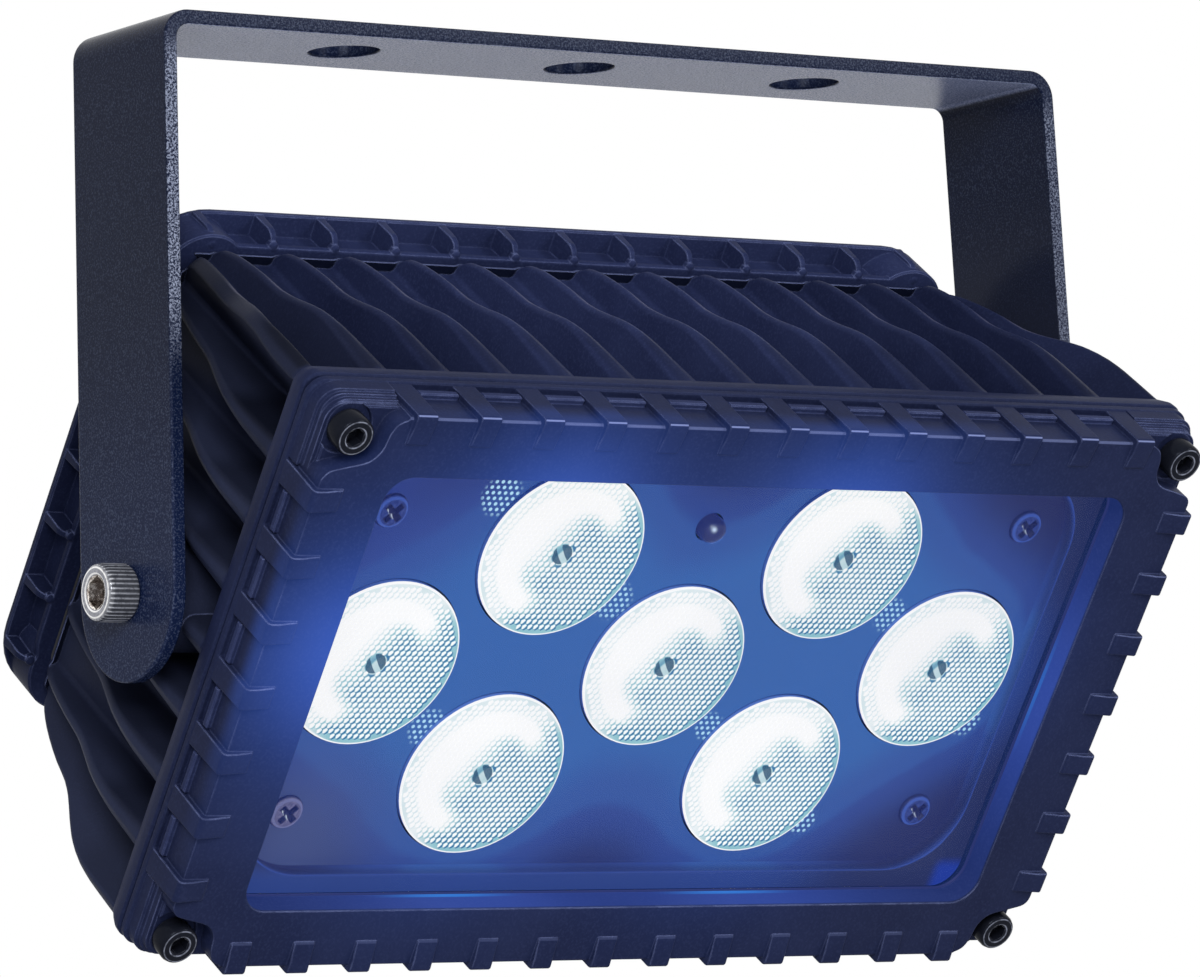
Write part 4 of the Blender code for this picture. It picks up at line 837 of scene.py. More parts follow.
def filleted(corners, steps=3):
    """A closed outline whose corners, (x, z, radius) each, are arcs, or stay sharp where the radius is 0."""
    points = []
    for i, (x, z, radius) in enumerate(corners):
        after = corners[(i + 1) % len(corners)]
        points += (corner_arc(corners[i - 1][:2], (x, z), after[:2], radius, steps) if radius
                   else [Vector((x, z))])
    return [(point.x, point.y) for point in points]


# Turned and screw-like pieces: rings whose radius may change round the axis

def hexagon(across_flats):
    """Radius of a hexagon round its axis."""
    return lambda angle: across_flats / 2 / math.cos((angle + math.pi / 6) % (math.pi / 3) - math.pi / 6)


def cross(arm, blade):
    """Radius of a cross recess."""
    def radius(angle):
        turn = angle % (math.pi / 2)
        turn = min(turn, math.pi / 2 - turn)
        return min(arm / math.cos(turn), blade / max(math.sin(turn), 1e-6))
    return radius


def ringed(name, stations, points=48, axis=TO_FRONT):
    """Closed rings at heights, each (height, radius); a radius may be a function of the angle."""
    rings = []
    for height, radius in stations:
        reach = radius if callable(radius) else lambda angle, radius=radius: radius
        turns = [TAU * i / points for i in range(points)]
        rings.append([(reach(turn) * math.cos(turn), reach(turn) * math.sin(turn), height) for turn in turns])
    return moved(loft(name, rings), axis)


def socket_screw(name, sizes, length, key, points=72, ridges=0, axis=TO_FRONT):
    """Cap screw with a hexagon socket; the seat is at 0 and the head rises along the axis."""
    head, height, shank = sizes

    def knurl(angle):
        return head - 0.035 * head * abs(math.sin(angle * ridges / 2)) ** 0.7

    rim = knurl if ridges else head
    soft = 0.12 * height
    floor = 0.42 * height
    return ringed(name, [
        (-length, shank * 0.8), (-length + 0.6, shank), (0, shank), (0, head * 0.93),
        (0.05 * height, head * 0.965), (0.09 * height, rim), (height - 1.6 * soft, rim),
        (height - 1.2 * soft, head * 0.975), (height - 0.5 * soft, head * 0.95),
        (height - 0.1 * soft, head * 0.89), (height, head * 0.82), (height, key * 0.655),
        (height - 0.12 * soft, key * 0.63), (height - 0.5 * soft, hexagon(key)), (floor, hexagon(key)),
        (floor - 0.05 * height, hexagon(key * 0.9)), (floor - 0.14 * height, key * 0.05)], points, axis)


def pan_screw(name, head, rise, shank, length):
    """Pan-head screw with a cross recess, seat at 0."""
    arm, blade = head * 0.58, head * 0.19
    return ringed(name, [
        (-length, shank * 0.6), (-length + 0.8, shank), (0, shank), (0, head * 0.97),
        (0.12 * rise, head), (0.35 * rise, head * 0.985), (0.66 * rise, head * 0.9),
        (0.86 * rise, head * 0.76), (0.97 * rise, head * 0.6), (rise, cross(arm, blade)),
        (0.62 * rise, cross(arm * 0.86, blade * 0.85)), (0.3 * rise, cross(arm * 0.55, blade * 0.6)),
        (0.25 * rise, head * 0.03)], 64)


# Bracket

def bracket_mesh():
    """Bent strip with rounded leg ends and holes, its edges softened."""
    half = STRIP_WIDTH / 2
    bottom = AXIS_DROP + LEG_END_DROP
    reach = bottom + half + 5
    lean = STRIP_THICKNESS * math.hypot(1, LEG_SPLAY)

    def outside(drop):
        return BAR_HALF_WIDTH + LEG_SPLAY * drop

    inner, inner_bend = outside(STRIP_THICKNESS) - lean, BEND_RADIUS - STRIP_THICKNESS
    outline = filleted([
        (-outside(reach), -reach, 0), (-BAR_HALF_WIDTH, 0, BEND_RADIUS), (BAR_HALF_WIDTH, 0, BEND_RADIUS),
        (outside(reach), -reach, 0), (outside(reach) - lean, -reach, 0), (inner, -STRIP_THICKNESS, inner_bend),
        (-inner, -STRIP_THICKNESS, inner_bend), (-outside(reach) + lean, -reach, 0)], 10)
    side = [(half * math.cos(math.pi * i / 40), -bottom - half * math.sin(math.pi * i / 40)) for i in range(41)]
    wide = outside(reach) + 5
    profile = prism("side_view", [side + [(-half, 5), (half, 5)]], -wide, wide)
    strip = carve(prism("strip", [outline], -half, half), [moved(profile, QUARTER_Z)], "INTERSECT")
    holes = [moved(prism("clamp_hole", [ring_points(CLAMP_HOLE_RADIUS, (across, 0), 48)], -5, 5),
                   Matrix.Rotation(math.pi / 2, 4, "X")) for across in row(3, CLAMP_HOLE_SPACING)]
    pivot = prism("pivot", [ring_points(PIVOT_HOLE_RADIUS, (0, -AXIS_DROP), 32)], -wide, wide)
    return smooth(bevelled(carve(strip, holes + [moved(pivot, QUARTER_Z)]), 0.35, 3), 50)


# Housing

# The fins at depths: offsets of their outer edges from FIN_HALF, (depth, top and bottom, sides), and
# their width
FIN_LINE = [(-17.5, 0, 0), (-8, 0, -0.15), (-2, -0.15, -0.7), (3, -0.7, -1.6), (7, -1.6, -2.7),
            (10.6, -2.7, -3.8), (14, -3.6, -4.8), (17, -4.15, -5.4), (22, -4.5, -6.1),
            (27, -5.1, -7), (32, -6, -8.1), (35.6, -7.2, -9.2), (37.3, -8.6, -10.3)]
FIN_WIDTH = [(-17.5, 5.6), (-16.3, 5), (-6, 3.7), (4, 2.5), (20, 2.2), (37.3, 2)]
COMB_DEPTHS = [-18.2, -17.5, -17.2, -16.6, -15.5, -14, -12, -9.5, -7, -4.5, -2, 0.5, 2.5, 4, 5.3,
               6.6, 7.9, 9.2, 10.5, 11.8, 13.1, 14.5, 16.5, 19, 22, 25, 28, 30.5, 32.5, 34, 35.2,
               36.1, 36.8, 37.3]
ROOT_RADIUS = 1.1
FILLET_AT_FLANGE = 1.3
UNDER_COVER_LIFT = 30
SHOULDER_RADIUS = 0.8
FIN_DRAFT = 0.25


def comb_outline(depth, lift=0):
    """Section of the fins across the lamp at a depth. Lift raises the pits' floors."""
    above, beside = eased(FIN_LINE, depth)
    width = eased(FIN_WIDTH, depth)[0]
    half = (FIN_HALF[0] + beside, FIN_HALF[1] + above)
    floor = [min(PIT_FLOOR[k] + lift, half[k] - 0.3) for k in (0, 1)]
    corner = 3 + 0.09 * (depth - FLANGE_BACK)
    rib = CORNER_RIB / math.sqrt(2)
    lean = FIN_HALF[0] - FIN_HALF[1]

    def teeth(count, top, bottom):
        """Corners of the fins beyond the middle as (along, out, radius), from the middle outwards."""
        line = []
        for place in [u for u in row(count, PITCH) if u >= -0.1]:
            sides = [(place - width / 2 - FIN_DRAFT, bottom, ROOT_RADIUS),
                     (place - width / 2 + FIN_DRAFT, top, width * 0.44),
                     (place + width / 2 - FIN_DRAFT, top, width * 0.44),
                     (place + width / 2 + FIN_DRAFT, bottom, ROOT_RADIUS)]
            line += sides if place > 0.1 else sides[2:]
        return line

    tip = (half[0] - corner * 0.29, half[1] - corner * 0.29)
    wide_top = (min(half[1] + lean - rib, half[0] - corner * 0.9), half[1])
    wide_side = (half[0], min(half[0] - lean - rib, half[1] - corner * 0.9))
    narrow = min(1, max(0, (depth + 16) / 14))
    top, side = [tuple(wide + (at_tip + sign * rib / 2 - wide) * narrow
                       for wide, at_tip, sign in zip(shoulder, tip, signs))
                 for shoulder, signs in ((wide_top, (-1, 1)), (wide_side, (1, -1)))]
    down = teeth(FINS_ACROSS, half[1], floor[1])
    down += [(floor[1] + lean - rib, floor[1], ROOT_RADIUS), (*top, SHOULDER_RADIUS),
             (tip[0] + 0.2 * narrow, tip[1] + 0.2 * narrow, corner * 0.55), (*side, SHOULDER_RADIUS),
             (floor[0], floor[0] - lean - rib, ROOT_RADIUS)]
    down += [(out, along, radius) for along, out, radius in reversed(teeth(FINS_UP, half[0], floor[0]))]
    right = down + [(x, -z, radius) for x, z, radius in reversed(down)]
    return filleted(right + [(-x, z, radius) for x, z, radius in reversed(right)])


def housing_mesh():
    """Fins as one lofted comb, the flange in front of them and the bosses at the tilt line."""
    rings = []
    for depth in COMB_DEPTHS:
        near_flange = min(1, max(0, 1 - (depth - FLANGE_BACK) / FILLET_AT_FLANGE))
        rings.append(at_depth(comb_outline(max(depth, FLANGE_BACK), near_flange ** 2), depth))
    last = comb_outline(FIN_END, UNDER_COVER_LIFT)
    for depth, shrink in ((37.35, 0), (37.9, 0.15), (38.25, 0.45), (38.4, 0.9)):
        rings.append([(x * (1 - shrink / FIN_HALF[0]), depth, z * (1 - shrink / FIN_HALF[1])) for x, z in last])
    soft = 0.35
    flange = loft("flange", frame_rings([
        (FLANGE_FRONT, inset(RIM_HALF, soft), 2.7), (FLANGE_FRONT + soft, RIM_HALF, 3),
        (-19.8, inset(RIM_HALF, 0.05), 3), (-18.6, inset(FIN_HALF, -0.42), 3),
        (FLANGE_BACK, inset(FIN_HALF, -0.04), 3), (FLANGE_BACK, CAVITY_HALF, SEAL_CORNER),
        (FLANGE_FRONT, CAVITY_HALF, SEAL_CORNER)], 10), closed=True)
    bosses = [moved(ringed("pivot_boss", [(0, 10), (16.6, 10), (17.2, 9.7), (BOSS_HEIGHT, 9),
                                          (BOSS_HEIGHT, 3.4), (13, 3.4)], 40, Matrix()),
                    shift(side * (BOSS_FACE - BOSS_HEIGHT)) @ Matrix.Rotation(side * math.pi / 2, 4, "Y"))
              for side in (-1, 1)]
    cavity = loft("front_chamber", frame_rings([(-25, CAVITY_HALF, SEAL_CORNER),
                                                (CAVITY_FLOOR, CAVITY_HALF, SEAL_CORNER)]))
    return smooth(together("housing", [carve(loft("fin_comb", rings), [cavity]), flange] + bosses), 40)


# Bezel

def bezel_frame():
    """The plain frame: face, rounded outer edge, rim step, glass rabbet and window wall."""
    soft, crisp, sharp = 0.45, 0.25, 0.05
    rabbet = inset(GLASS_HALF, -0.4)
    return loft("bezel_frame", frame_rings([
        (BEZEL_FRONT, inset(BEZEL_HALF, soft), 3), (BEZEL_FRONT + 0.13, inset(BEZEL_HALF, soft * 0.3), 3.3),
        (BEZEL_FRONT + soft, BEZEL_HALF, 3.5), (RIM_FRONT - sharp, BEZEL_HALF, 3.5),
        (RIM_FRONT, inset(BEZEL_HALF, -sharp), 3.5), (RIM_FRONT, inset(RIM_HALF, crisp), 3.3),
        (RIM_FRONT + crisp, RIM_HALF, 3.5), (BEZEL_BACK - crisp, RIM_HALF, 3.5),
        (BEZEL_BACK, inset(RIM_HALF, crisp), 3.3), (BEZEL_BACK, rabbet, WINDOW_CORNER),
        (BEAD_FRONT, rabbet, WINDOW_CORNER), (BEAD_FRONT, inset(WINDOW_HALF, -0.15), 5.1),
        (BEAD_FRONT - 0.15, WINDOW_HALF, WINDOW_CORNER), (BEZEL_FRONT + 0.35, WINDOW_HALF, WINDOW_CORNER),
        (BEZEL_FRONT + 0.1, inset(WINDOW_HALF, -0.1), 5.1), (BEZEL_FRONT, inset(WINDOW_HALF, -0.35), 5.3)],
        10), closed=True)


def bezel_block(half):
    """One castellation lying along X on the top edge, with a tongue that fades into the face."""
    outside, inside = half + BLOCK_PROUD, half - 2
    foot = half - BLOCK_TAB
    nose = 0.8
    side = BLOCK_WIDTH / 2
    profile = [(RIM_FRONT + 0.5, inside, side + 0.1), (RIM_FRONT + 0.5, outside - 0.3, side - 0.1),
               (RIM_FRONT - 0.2, outside, side - 0.1)]
    for turn in [math.radians(90 * i / 4) for i in range(5)]:
        profile.append((BLOCK_FRONT + nose - nose * math.sin(turn), outside - nose + nose * math.cos(turn),
                        side - 0.35))
    profile += [(BLOCK_FRONT + 0.15, half - 1.6, side - 0.4),
                (BLOCK_FRONT + 0.45, half - BLOCK_TAB * 0.65, side - 0.35),
                (BLOCK_FRONT + 0.6, foot + 0.25, side - 0.3), (BEZEL_FRONT + 0.03, foot, side - 0.3),
                (BEZEL_FRONT + 1.5, foot, side - 0.3), (BEZEL_FRONT + 1.5, inside, side - 0.3)]
    return bevelled(loft("block", [[(end * wide, depth, out) for depth, out, wide in profile]
                                   for end in (-1, 1)]), 0.25)


def recess_bar(half):
    """The small raised bar between two castellations, near the rim."""
    bar = loft("bar", [[(x * across, -25.85 + y * along, half + proud)
                        for x, y in ((-1, -1), (1, -1), (1, 1), (-1, 1))]
                       for proud, across, along in ((-0.3, 3.85, 0.65), (0.8, 3.85, 0.65), (1, 3.65, 0.45))])
    # The bars' faces take the brighter lit coat: painted light on them
    for face in bar.polygons:
        face.material_index = 1
    return bar


# Wall of a corner's cut-away about its screw, across and up
POCKET_EDGE = [(-9.45, 12), (-9.45, 7), (-9.4, 4.6), (-8.9, 3.8), (-7.9, 3.3), (-7, 2.5), (-6.3, 0.8),
               (-5.8, -2.1), (-3.9, -4.3), (0.3, -5.5), (2.9, -6.3), (3.9, -7.5), (4.5, -9), (7, -9.2),
               (12, -9.2)]
# Levels of the corner steps: depth and half sizes
CORNER_LEVELS = [(-29.2, 91.15, 53.65), (-29, 91.4, 53.9), (-28.25, 91.45, 53.95), (-28.2, 91.65, 54.15),
                 (-28, 91.9, 54.4), (-27.25, 91.95, 54.45), (-27.2, 92.15, 54.6), (-27, 92.4, 54.85),
                 (-26.25, 92.45, 54.9), (-26.2, 92.65, 55.05), (-26, 92.9, 55.25), (-23.3, 92.95, 55.3)]


def smooth_path(points, steps=4):
    """An open line carried smoothly through its points."""
    path = []
    for i in range(len(points) - 1):
        p = [Vector(points[min(max(i + k, 0), len(points) - 1)]) for k in (-1, 0, 1, 2)]
        for t in [j / steps for j in range(steps)]:
            path.append(0.5 * (2 * p[1] + (p[2] - p[0]) * t + (2 * p[0] - 5 * p[1] + 4 * p[2] - p[3]) * t * t
                               + (3 * p[1] - p[0] - 3 * p[2] + p[3]) * t ** 3))
    return path + [Vector(points[-1])]


def corner_pockets(name, back):
    """Prisms of the corners' cut-aways: a wavy wall goes round each screw from tooth to tooth."""
    edge = [(CORNER_SCREW[0] + point.x, CORNER_SCREW[1] + point.y) for point in smooth_path(POCKET_EDGE)]
    edge.append((edge[-1][0], edge[0][1]))
    return [prism(name, [[(side * x, up * z) for x, z in edge]], BLOCK_FRONT - 2, back)
            for side, up in four_corners((1, 1)).values()]


def corner_steps():
    """Floors of the cut-away corners: a level with a spot face for the screw, and three steps to the rim."""
    rings = frame_rings([(y, (x, z), 3.4 + 0.1 * (y + 29.2)) for y, x, z in CORNER_LEVELS])
    rings += frame_rings([(-23.3, (70, 34), 3), (-29.2, (70, 34), 3)])
    steps = carve(loft("steps", rings, closed=True), corner_pockets("corner", RIM_FRONT + 1), "INTERSECT")
    return carve(steps, [moved(ringed("spot_face", [(28.45, 4.75), (29, 4.75), (29.25, 4.95), (34, 4.95)]),
                               shift(across, 0, up)) for across, up in four_corners(CORNER_SCREW).values()])


def bezel_mesh():
    """Frame with cut-away corners, castellations, recess bars and corner steps."""
    pieces = [carve(bezel_frame(), corner_pockets("pocket", POCKET_FLOOR)), corner_steps()]
    for edge, count, turn in EDGES:
        pieces += along_edges(bezel_block(BEZEL_HALF[edge]), count, turn)
        pieces += along_edges(recess_bar(BEZEL_HALF[edge]), count - 1, turn)
    whole = together("bezel", pieces)
    # Lit copies of the cast coat with the lenses' painted blue glow; the recess bars' copy is made brighter as
    # painted light
    whole.materials.append(cast_coat("lit_cast_coat", lit=True))
    whole.materials.append(cast_coat("lit_bar_coat", lit=True, painted_light_gain=1.55))
    return smooth(whole)


# Optics

def honeycomb(radius, pitch, rise, hole):
    """Small six-sided domes that fill a disc, as (points, faces) facing the lamp's front."""
    points, faces = [], []
    side = pitch / math.sqrt(3)
    rows = int(radius / (1.5 * side)) + 1
    for r in range(-rows, rows + 1):
        for c in range(-rows - 4, rows + 5):
            x, z = (c + (r % 2) / 2) * pitch, r * 1.5 * side
            if not hole <= math.hypot(x, z) <= radius - side * 0.55:
                continue
            start = len(points)
            crown = LENS_FRONT - rise
            points.append((x, crown, z))
            for share, height in ((0.45, rise * 0.1), (0.8, rise * 0.48), (1, rise)):
                for k in range(6):
                    angle = math.radians(60 * k + 30)
                    px, pz = x + side * share * math.cos(angle), z + side * share * math.sin(angle)
                    kept = min(1, radius / math.hypot(px, pz))
                    points.append((px * kept, crown + height, pz * kept))
            for k in range(6):
                n = (k + 1) % 6
                faces.append((start, start + 1 + k, start + 1 + n))
                for level in (1, 7):
                    a, b = start + level + k, start + level + n
                    faces.append((a, a + 6, b + 6, b))
    return points, faces


def lens_mesh():
    """Lens with a domed honeycomb face, a rounded rim, a small centre mark and a tapered side."""
    points, faces = honeycomb(15.65, 1.2, 0.16, 2.1)
    face = bpy.data.meshes.new("lens_face")
    face.from_pydata([Vector(point) * MM for point in points], [], faces)
    edit = bmesh.new()
    edit.from_mesh(face)
    bmesh.ops.remove_doubles(edit, verts=edit.verts, dist=0.01 * MM)
    bmesh.ops.recalc_face_normals(edit, faces=edit.faces)
    if sum(f.normal.y for f in edit.faces) > 0:
        bmesh.ops.reverse_faces(edit, faces=edit.faces)
    edit.to_mesh(face)
    edit.free()
    base, front, rim = -LENS_BASE, -LENS_FRONT, LENS_RADIUS
    body = ringed("lens_body", [
        (base + 5, 0.4), (base + 5, 3.6), (base, 4.6), (base, 9.5), (front - 1.8, rim - 0.1),
        (front - 0.3, rim), (front - 0.04, rim - 0.08), (front + 0.06, rim - 0.26), (front - 0.04, rim - 0.46),
        (front - 0.1, rim - 0.6), (front - 0.1, 2.3), (front + 0.02, 2.15), (front - 0.05, 1.9),
        (front - 0.5, 1.2), (front - 0.6, 0.05)], 72)
    whole = together("lens", [face, body])
    whole.materials.append(FINISHES["moulded_lens"])
    whole.materials.append(lens_side())
    for polygon in whole.polygons:
        at = polygon.center / MM
        polygon.material_index = int(at.y > LENS_FRONT + 0.4 and math.hypot(at.x, at.z) > 3)
    return smooth(whole, 50)


def mask_mesh():
    """Mask plate with round holes for lenses, screws and sensor."""
    holes = [ring_points(LENS_RADIUS + 0.3, middle) for middle in LENS_PLACES]
    holes += [ring_points(1.8, middle, 16) for middle in four_corners(MASK_SCREW).values()]
    holes.append(ring_points(2.85, SENSOR, 32))
    return prism("mask", [round_rect(MASK_HALF, SEAL_CORNER, 14)] + holes, MASK_FRONT, MASK_FRONT + 1)


def gasket_mesh():
    """Seal between glass and housing with a rounded lip at the window, and a thin bead before the glass."""
    front, back, lip = GLASS_BACK + 0.3, MASK_FRONT + 0.5, 0.35
    outer = inset(GLASS_HALF, 0.3)
    seal = loft("seal", frame_rings([
        (front, outer, WINDOW_CORNER), (back, outer, WINDOW_CORNER),
        (back, inset(SEAL_INNER, -lip), SEAL_CORNER + lip), (back - lip, SEAL_INNER, SEAL_CORNER),
        (front + lip, SEAL_INNER, SEAL_CORNER), (front + 0.1, inset(SEAL_INNER, -0.1), SEAL_CORNER),
        (front, inset(SEAL_INNER, -lip), SEAL_CORNER + lip)], 14), closed=True)
    low, high = BEAD_FRONT + 0.02, GLASS_FRONT - 0.02
    bead = loft("bead", frame_rings([(depth, half, WINDOW_CORNER) for depth, half in (
        (low, inset(GLASS_HALF, 0.2)), (high, inset(GLASS_HALF, 0.2)), (high, inset(WINDOW_HALF, 0.05)),
        (high - 0.2, inset(WINDOW_HALF, 0.12)), (low, inset(WINDOW_HALF, 0.02)))], 10), closed=True)
    return smooth(together("gasket", [seal, bead]))


def glass_mesh():
    """Flat pane with ground edges."""
    soft = 0.4
    return smooth(loft("pane", frame_rings([
        (GLASS_FRONT, inset(GLASS_HALF, soft), 4.6), (GLASS_FRONT + soft, GLASS_HALF, WINDOW_CORNER),
        (GLASS_BACK - soft, GLASS_HALF, WINDOW_CORNER), (GLASS_BACK, inset(GLASS_HALF, soft), 4.6)])))


# Rear cover

def gusset_mesh(wall, lip, rim):
    """A thin web at the rim's height with a rounded front, down to a small knob on the lip, lying across X."""
    front, back = 40.1, 47.2
    top, foot = rim - 0.12, lip - 0.1
    turns = [math.radians(90 * i / 7) for i in range(8)]
    profile = [(back, wall - 1), (41, wall - 1), (front, foot)]
    profile += [(front + 2.6 * (1 - math.cos(turn)), foot + (top - foot) * math.sin(turn)) for turn in turns]
    profile.append((back, top))
    web = loft("gusset", [[(side * (0.55 + 0.4 * (depth - front) / (back - front)), depth, out)
                           for depth, out in profile] for side in (-1, 1)])
    knob = ringed("knob", [(-0.6, 1), (0.4, 1), (0.7, 0.75), (0.85, 0.35), (0.88, 0.02)], 14)
    return together("gusset", [bevelled(web, 0.25), moved(knob, shift(0, front + 0.35, foot))])


def cover_mesh():
    """Shallow lid: lip, wall, rim and back with rounded edges, gussets, lobes and panel openings."""
    soft = 0.6
    lid = loft("lid", frame_rings([(depth, half, COVER_CORNER) for depth, half in (
        (COVER_FRONT, inset(COVER_LIP_HALF, 0.55)), (COVER_FRONT + 0.15, inset(COVER_LIP_HALF, 0.2)),
        (COVER_FRONT + 0.5, COVER_LIP_HALF), (40.7, COVER_LIP_HALF), (41.05, inset(COVER_LIP_HALF, 0.2)),
        (41.2, inset(COVER_LIP_HALF, 0.55)), (41.3, COVER_WALL_HALF), (46.7, COVER_WALL_HALF),
        (46.8, inset(COVER_RIM_HALF, 0.25)), (47.05, COVER_RIM_HALF), (COVER_BACK - soft, COVER_RIM_HALF),
        (COVER_BACK - 0.2, inset(COVER_RIM_HALF, 0.15)), (COVER_BACK, inset(COVER_RIM_HALF, soft)))], 10))
    spots = four_corners(REAR_SCREW).values()
    lobe = ((0.05, LOBE_RADIUS - 0.3), (0.35, LOBE_RADIUS), (8.3, LOBE_RADIUS))
    lobes = [moved(ringed("lobe", lobe, 48, TO_BACK), shift(across, COVER_FRONT, up)) for across, up in spots]
    openings = [("counterbore", ring_points(3.95, spot, 40), 44) for spot in spots]
    openings += [("button_hole", ring_points(BUTTON_RADIUS + 0.3, (across, BUTTON_UP), 40), 46)
                 for across in row(4, BUTTON_SPACING)]
    window = [(x, z + DISPLAY_UP) for x, z in round_rect(inset(DISPLAY_HALF, -0.3), 0.6, 3)]
    openings.append(("display_pocket", window, 44.4))
    lid = carve(carve(lid, lobes, "UNION"), [prism(name, [outline], floor, PAST_COVER)
                                             for name, outline, floor in openings])
    pieces = [lid]
    for edge, count, turn in EDGES:
        web = gusset_mesh(COVER_WALL_HALF[edge], COVER_LIP_HALF[edge], COVER_RIM_HALF[edge])
        pieces += along_edges(web, count, turn)
    return smooth(together("cover", pieces))


def digits_mesh():
    """Display block with four digits of seven unlit segments, seen from the back of the lamp."""
    front, back = 42.7, 46.5
    base = loft("digit_block", [[(-13, y, 16), (13, y, 16), (13, y, 24), (-13, y, 24)]
                                for y in (front, back - 0.12)])
    bars = [base]
    across, up, wide = 1.45, 2.6, 0.34
    for middle in row(4, 5.8):
        for x, z, flat in ((0, up, 1), (0, 0, 1), (0, -up, 1), (-across, up / 2, 0), (across, up / 2, 0),
                           (-across, -up / 2, 0), (across, -up / 2, 0)):
            long = (across if flat else up / 2) - 0.35
            shape = [(-long, 0), (-long + wide, wide), (long - wide, wide), (long, 0), (long - wide, -wide),
                     (-long + wide, -wide)]
            if not flat:
                shape = [(b, a) for a, b in shape][::-1]
            bars.append(loft("segment", [[(middle + x + a, y, DISPLAY_UP + z + b) for a, b in shape]
                                         for y in (back - 0.2, back)]))
    whole = together("digits", bars)
    whole.materials.append(FINISHES["dark_plastic"])
    whole.materials.append(UNLIT_SEGMENT)
    for polygon in whole.polygons[len(base.polygons):]:
        polygon.material_index = 1
    return whole


def button_mesh():
    """Rubber cap with a shallow dish, its flange inside the cover."""
    rim = BUTTON_RADIUS
    return smooth(ringed("button", [
        (-3.9, 0.1), (-3.9, 4.8), (-2.5, 4.8), (-2.4, rim), (0.9, rim), (1.25, rim - 0.12), (1.45, rim - 0.45),
        (1.5, rim - 0.85), (1.38, rim * 0.5), (1.3, 0.05)], 40, TO_BACK), 40)


def gland_body_mesh():
    """Hexagon nut of a gland with chamfered corners and its thread."""
    flats = 17

    def cut(angle):
        return min(hexagon(flats)(angle), flats * 0.555)

    def low_cut(angle):
        return min(hexagon(flats)(angle), flats * 0.535)

    return smooth(ringed("gland_body", [
        (-4.8, 0.2), (-4.8, 5.5), (-4.5, 5.8), (0.3, 5.8), (0.3, low_cut), (0.75, cut), (3.85, cut),
        (4.3, low_cut), (4.3, 5.8), (8.2, 5.8), (8.2, 0.2)], 96, TO_BACK), 30)


def gland_cap_mesh():
    """Domed cap with grip flats and a blind seal in its mouth."""
    def grip(angle):
        return min(hexagon(15.6)(angle), 8.3) - 0.12 * abs(math.sin(angle * 12))

    return smooth(ringed("gland_cap", [
        (8.75, 0.2), (8.75, 6.05), (4.65, 6.05), (4.65, 7.6), (4.95, grip), (9.4, grip), (9.9, 7.55),
        (11.6, 7), (13.2, 5.9), (14.2, 4.7), (14.55, 3.9), (14.6, 3.4), (14.3, 3.1), (13.3, 3),
        (13.5, 1.6), (13.6, 0.1)], 96, TO_BACK))


# Setting the pieces down

even_normals(dress("bracket_strip", bracket_mesh(), ["bracket"], body="bracket", axes=Matrix()))
even_normals(dress("housing_casting", housing_mesh(), ["heat_sink_housing"]))
even_normals(dress("bezel_casting", bezel_mesh(), ["front_bezel"]))
even_normals(dress("cover_casting", cover_mesh(), ["rear_cover"]))
dress("window_pane", glass_mesh(), ["front_glass"])
dress("window_seal", gasket_mesh(), ["glass_gasket"], lit_rubber())
dress("mask_plate", mask_mesh(), ["lens_mask_plate"])

lens = lens_mesh()
for i, (across, up) in enumerate(LENS_PLACES, start=1):
    dress(f"honeycomb_lens_{i}", lens, [f"lens_{i}"], axes=LAMP @ shift(across, 0, up))

knurled = smooth(socket_screw("tilt_bolt", M6_HEAD, 16, 5, 144, 36, Matrix()), 30)
seat = BAR_HALF_WIDTH + LEG_SPLAY * AXIS_DROP + 0.3
for name, side in (("left", -1), ("right", 1)):
    dress(f"tilt_bolt_{name}", knurled, [f"bracket_bolt_{name}"],
          axes=LAMP @ shift(side * seat) @ Matrix.Rotation(side * math.pi / 2, 4, "Y"))

front_cap = smooth(socket_screw("corner_screw", M4_HEAD, 9.4, 3))
rear_cap = smooth(socket_screw("cover_screw", M4_HEAD, 16, 3, axis=TO_BACK))
for piece, node, cap, depth, place in (
        ("corner_screw", "bezel_screw", front_cap, POCKET_FLOOR - 0.3, CORNER_SCREW),
        ("cover_screw", "rear_screw", rear_cap, COVER_BACK - 4, REAR_SCREW)):
    for name, (across, up) in four_corners(place).items():
        dress(f"{piece}_{name}", cap, [f"{node}_{name}"], axes=LAMP @ shift(across, depth, up))

pan = smooth(pan_screw("mask_pan_screw", 3.3, 1.3, 1.4, 7), 40)
pale_lit_pan = pan.copy()
# Two copies of one screw finish under different painted light: blue for three screws, grey for the bottom left
# one
pan.materials.append(mask_screw_steel("blue_lit_screw", (0.02, 0.036, 0.18), (0.032, 0.055, 0.24),
                                      (0.048, 0.098, 0.4)))
pale_lit_pan.materials.append(mask_screw_steel("grey_lit_screw", (0.085, 0.085, 0.19), (0.135, 0.13, 0.26),
                                           (0.15, 0.16, 0.33)))
for name, (across, up) in four_corners(MASK_SCREW).items():
    dress(f"pan_screw_{name}", pale_lit_pan if name == "bottom_left" else pan, [f"mask_screw_{name}"],
          axes=LAMP @ shift(across, MASK_FRONT - 0.2, up) @ Matrix.Rotation(0.7, 4, "Y"))

sensor = smooth(ringed("sensor_dome", [
    (2.7, 0.1), (2.7, 2.5), (22.2, 2.5), (22.9, 2.3), (23.5, 1.8), (23.8, 1.1), (23.9, 0.1)], 40), 50)
dress("receiver_dome", sensor, ["ir_receiver"], sensor_lens(), axes=LAMP @ shift(SENSOR[0], 0, SENSOR[1]))

button = button_mesh()
for i, across in enumerate(row(4, BUTTON_SPACING), start=1):
    dress(f"button_cap_{i}", button, [f"button_{i}"], body=f"button_{i}",
          axes=LAMP @ shift(across, COVER_BACK, BUTTON_UP))
dress("digit_block", digits_mesh(), ["digit_display"])

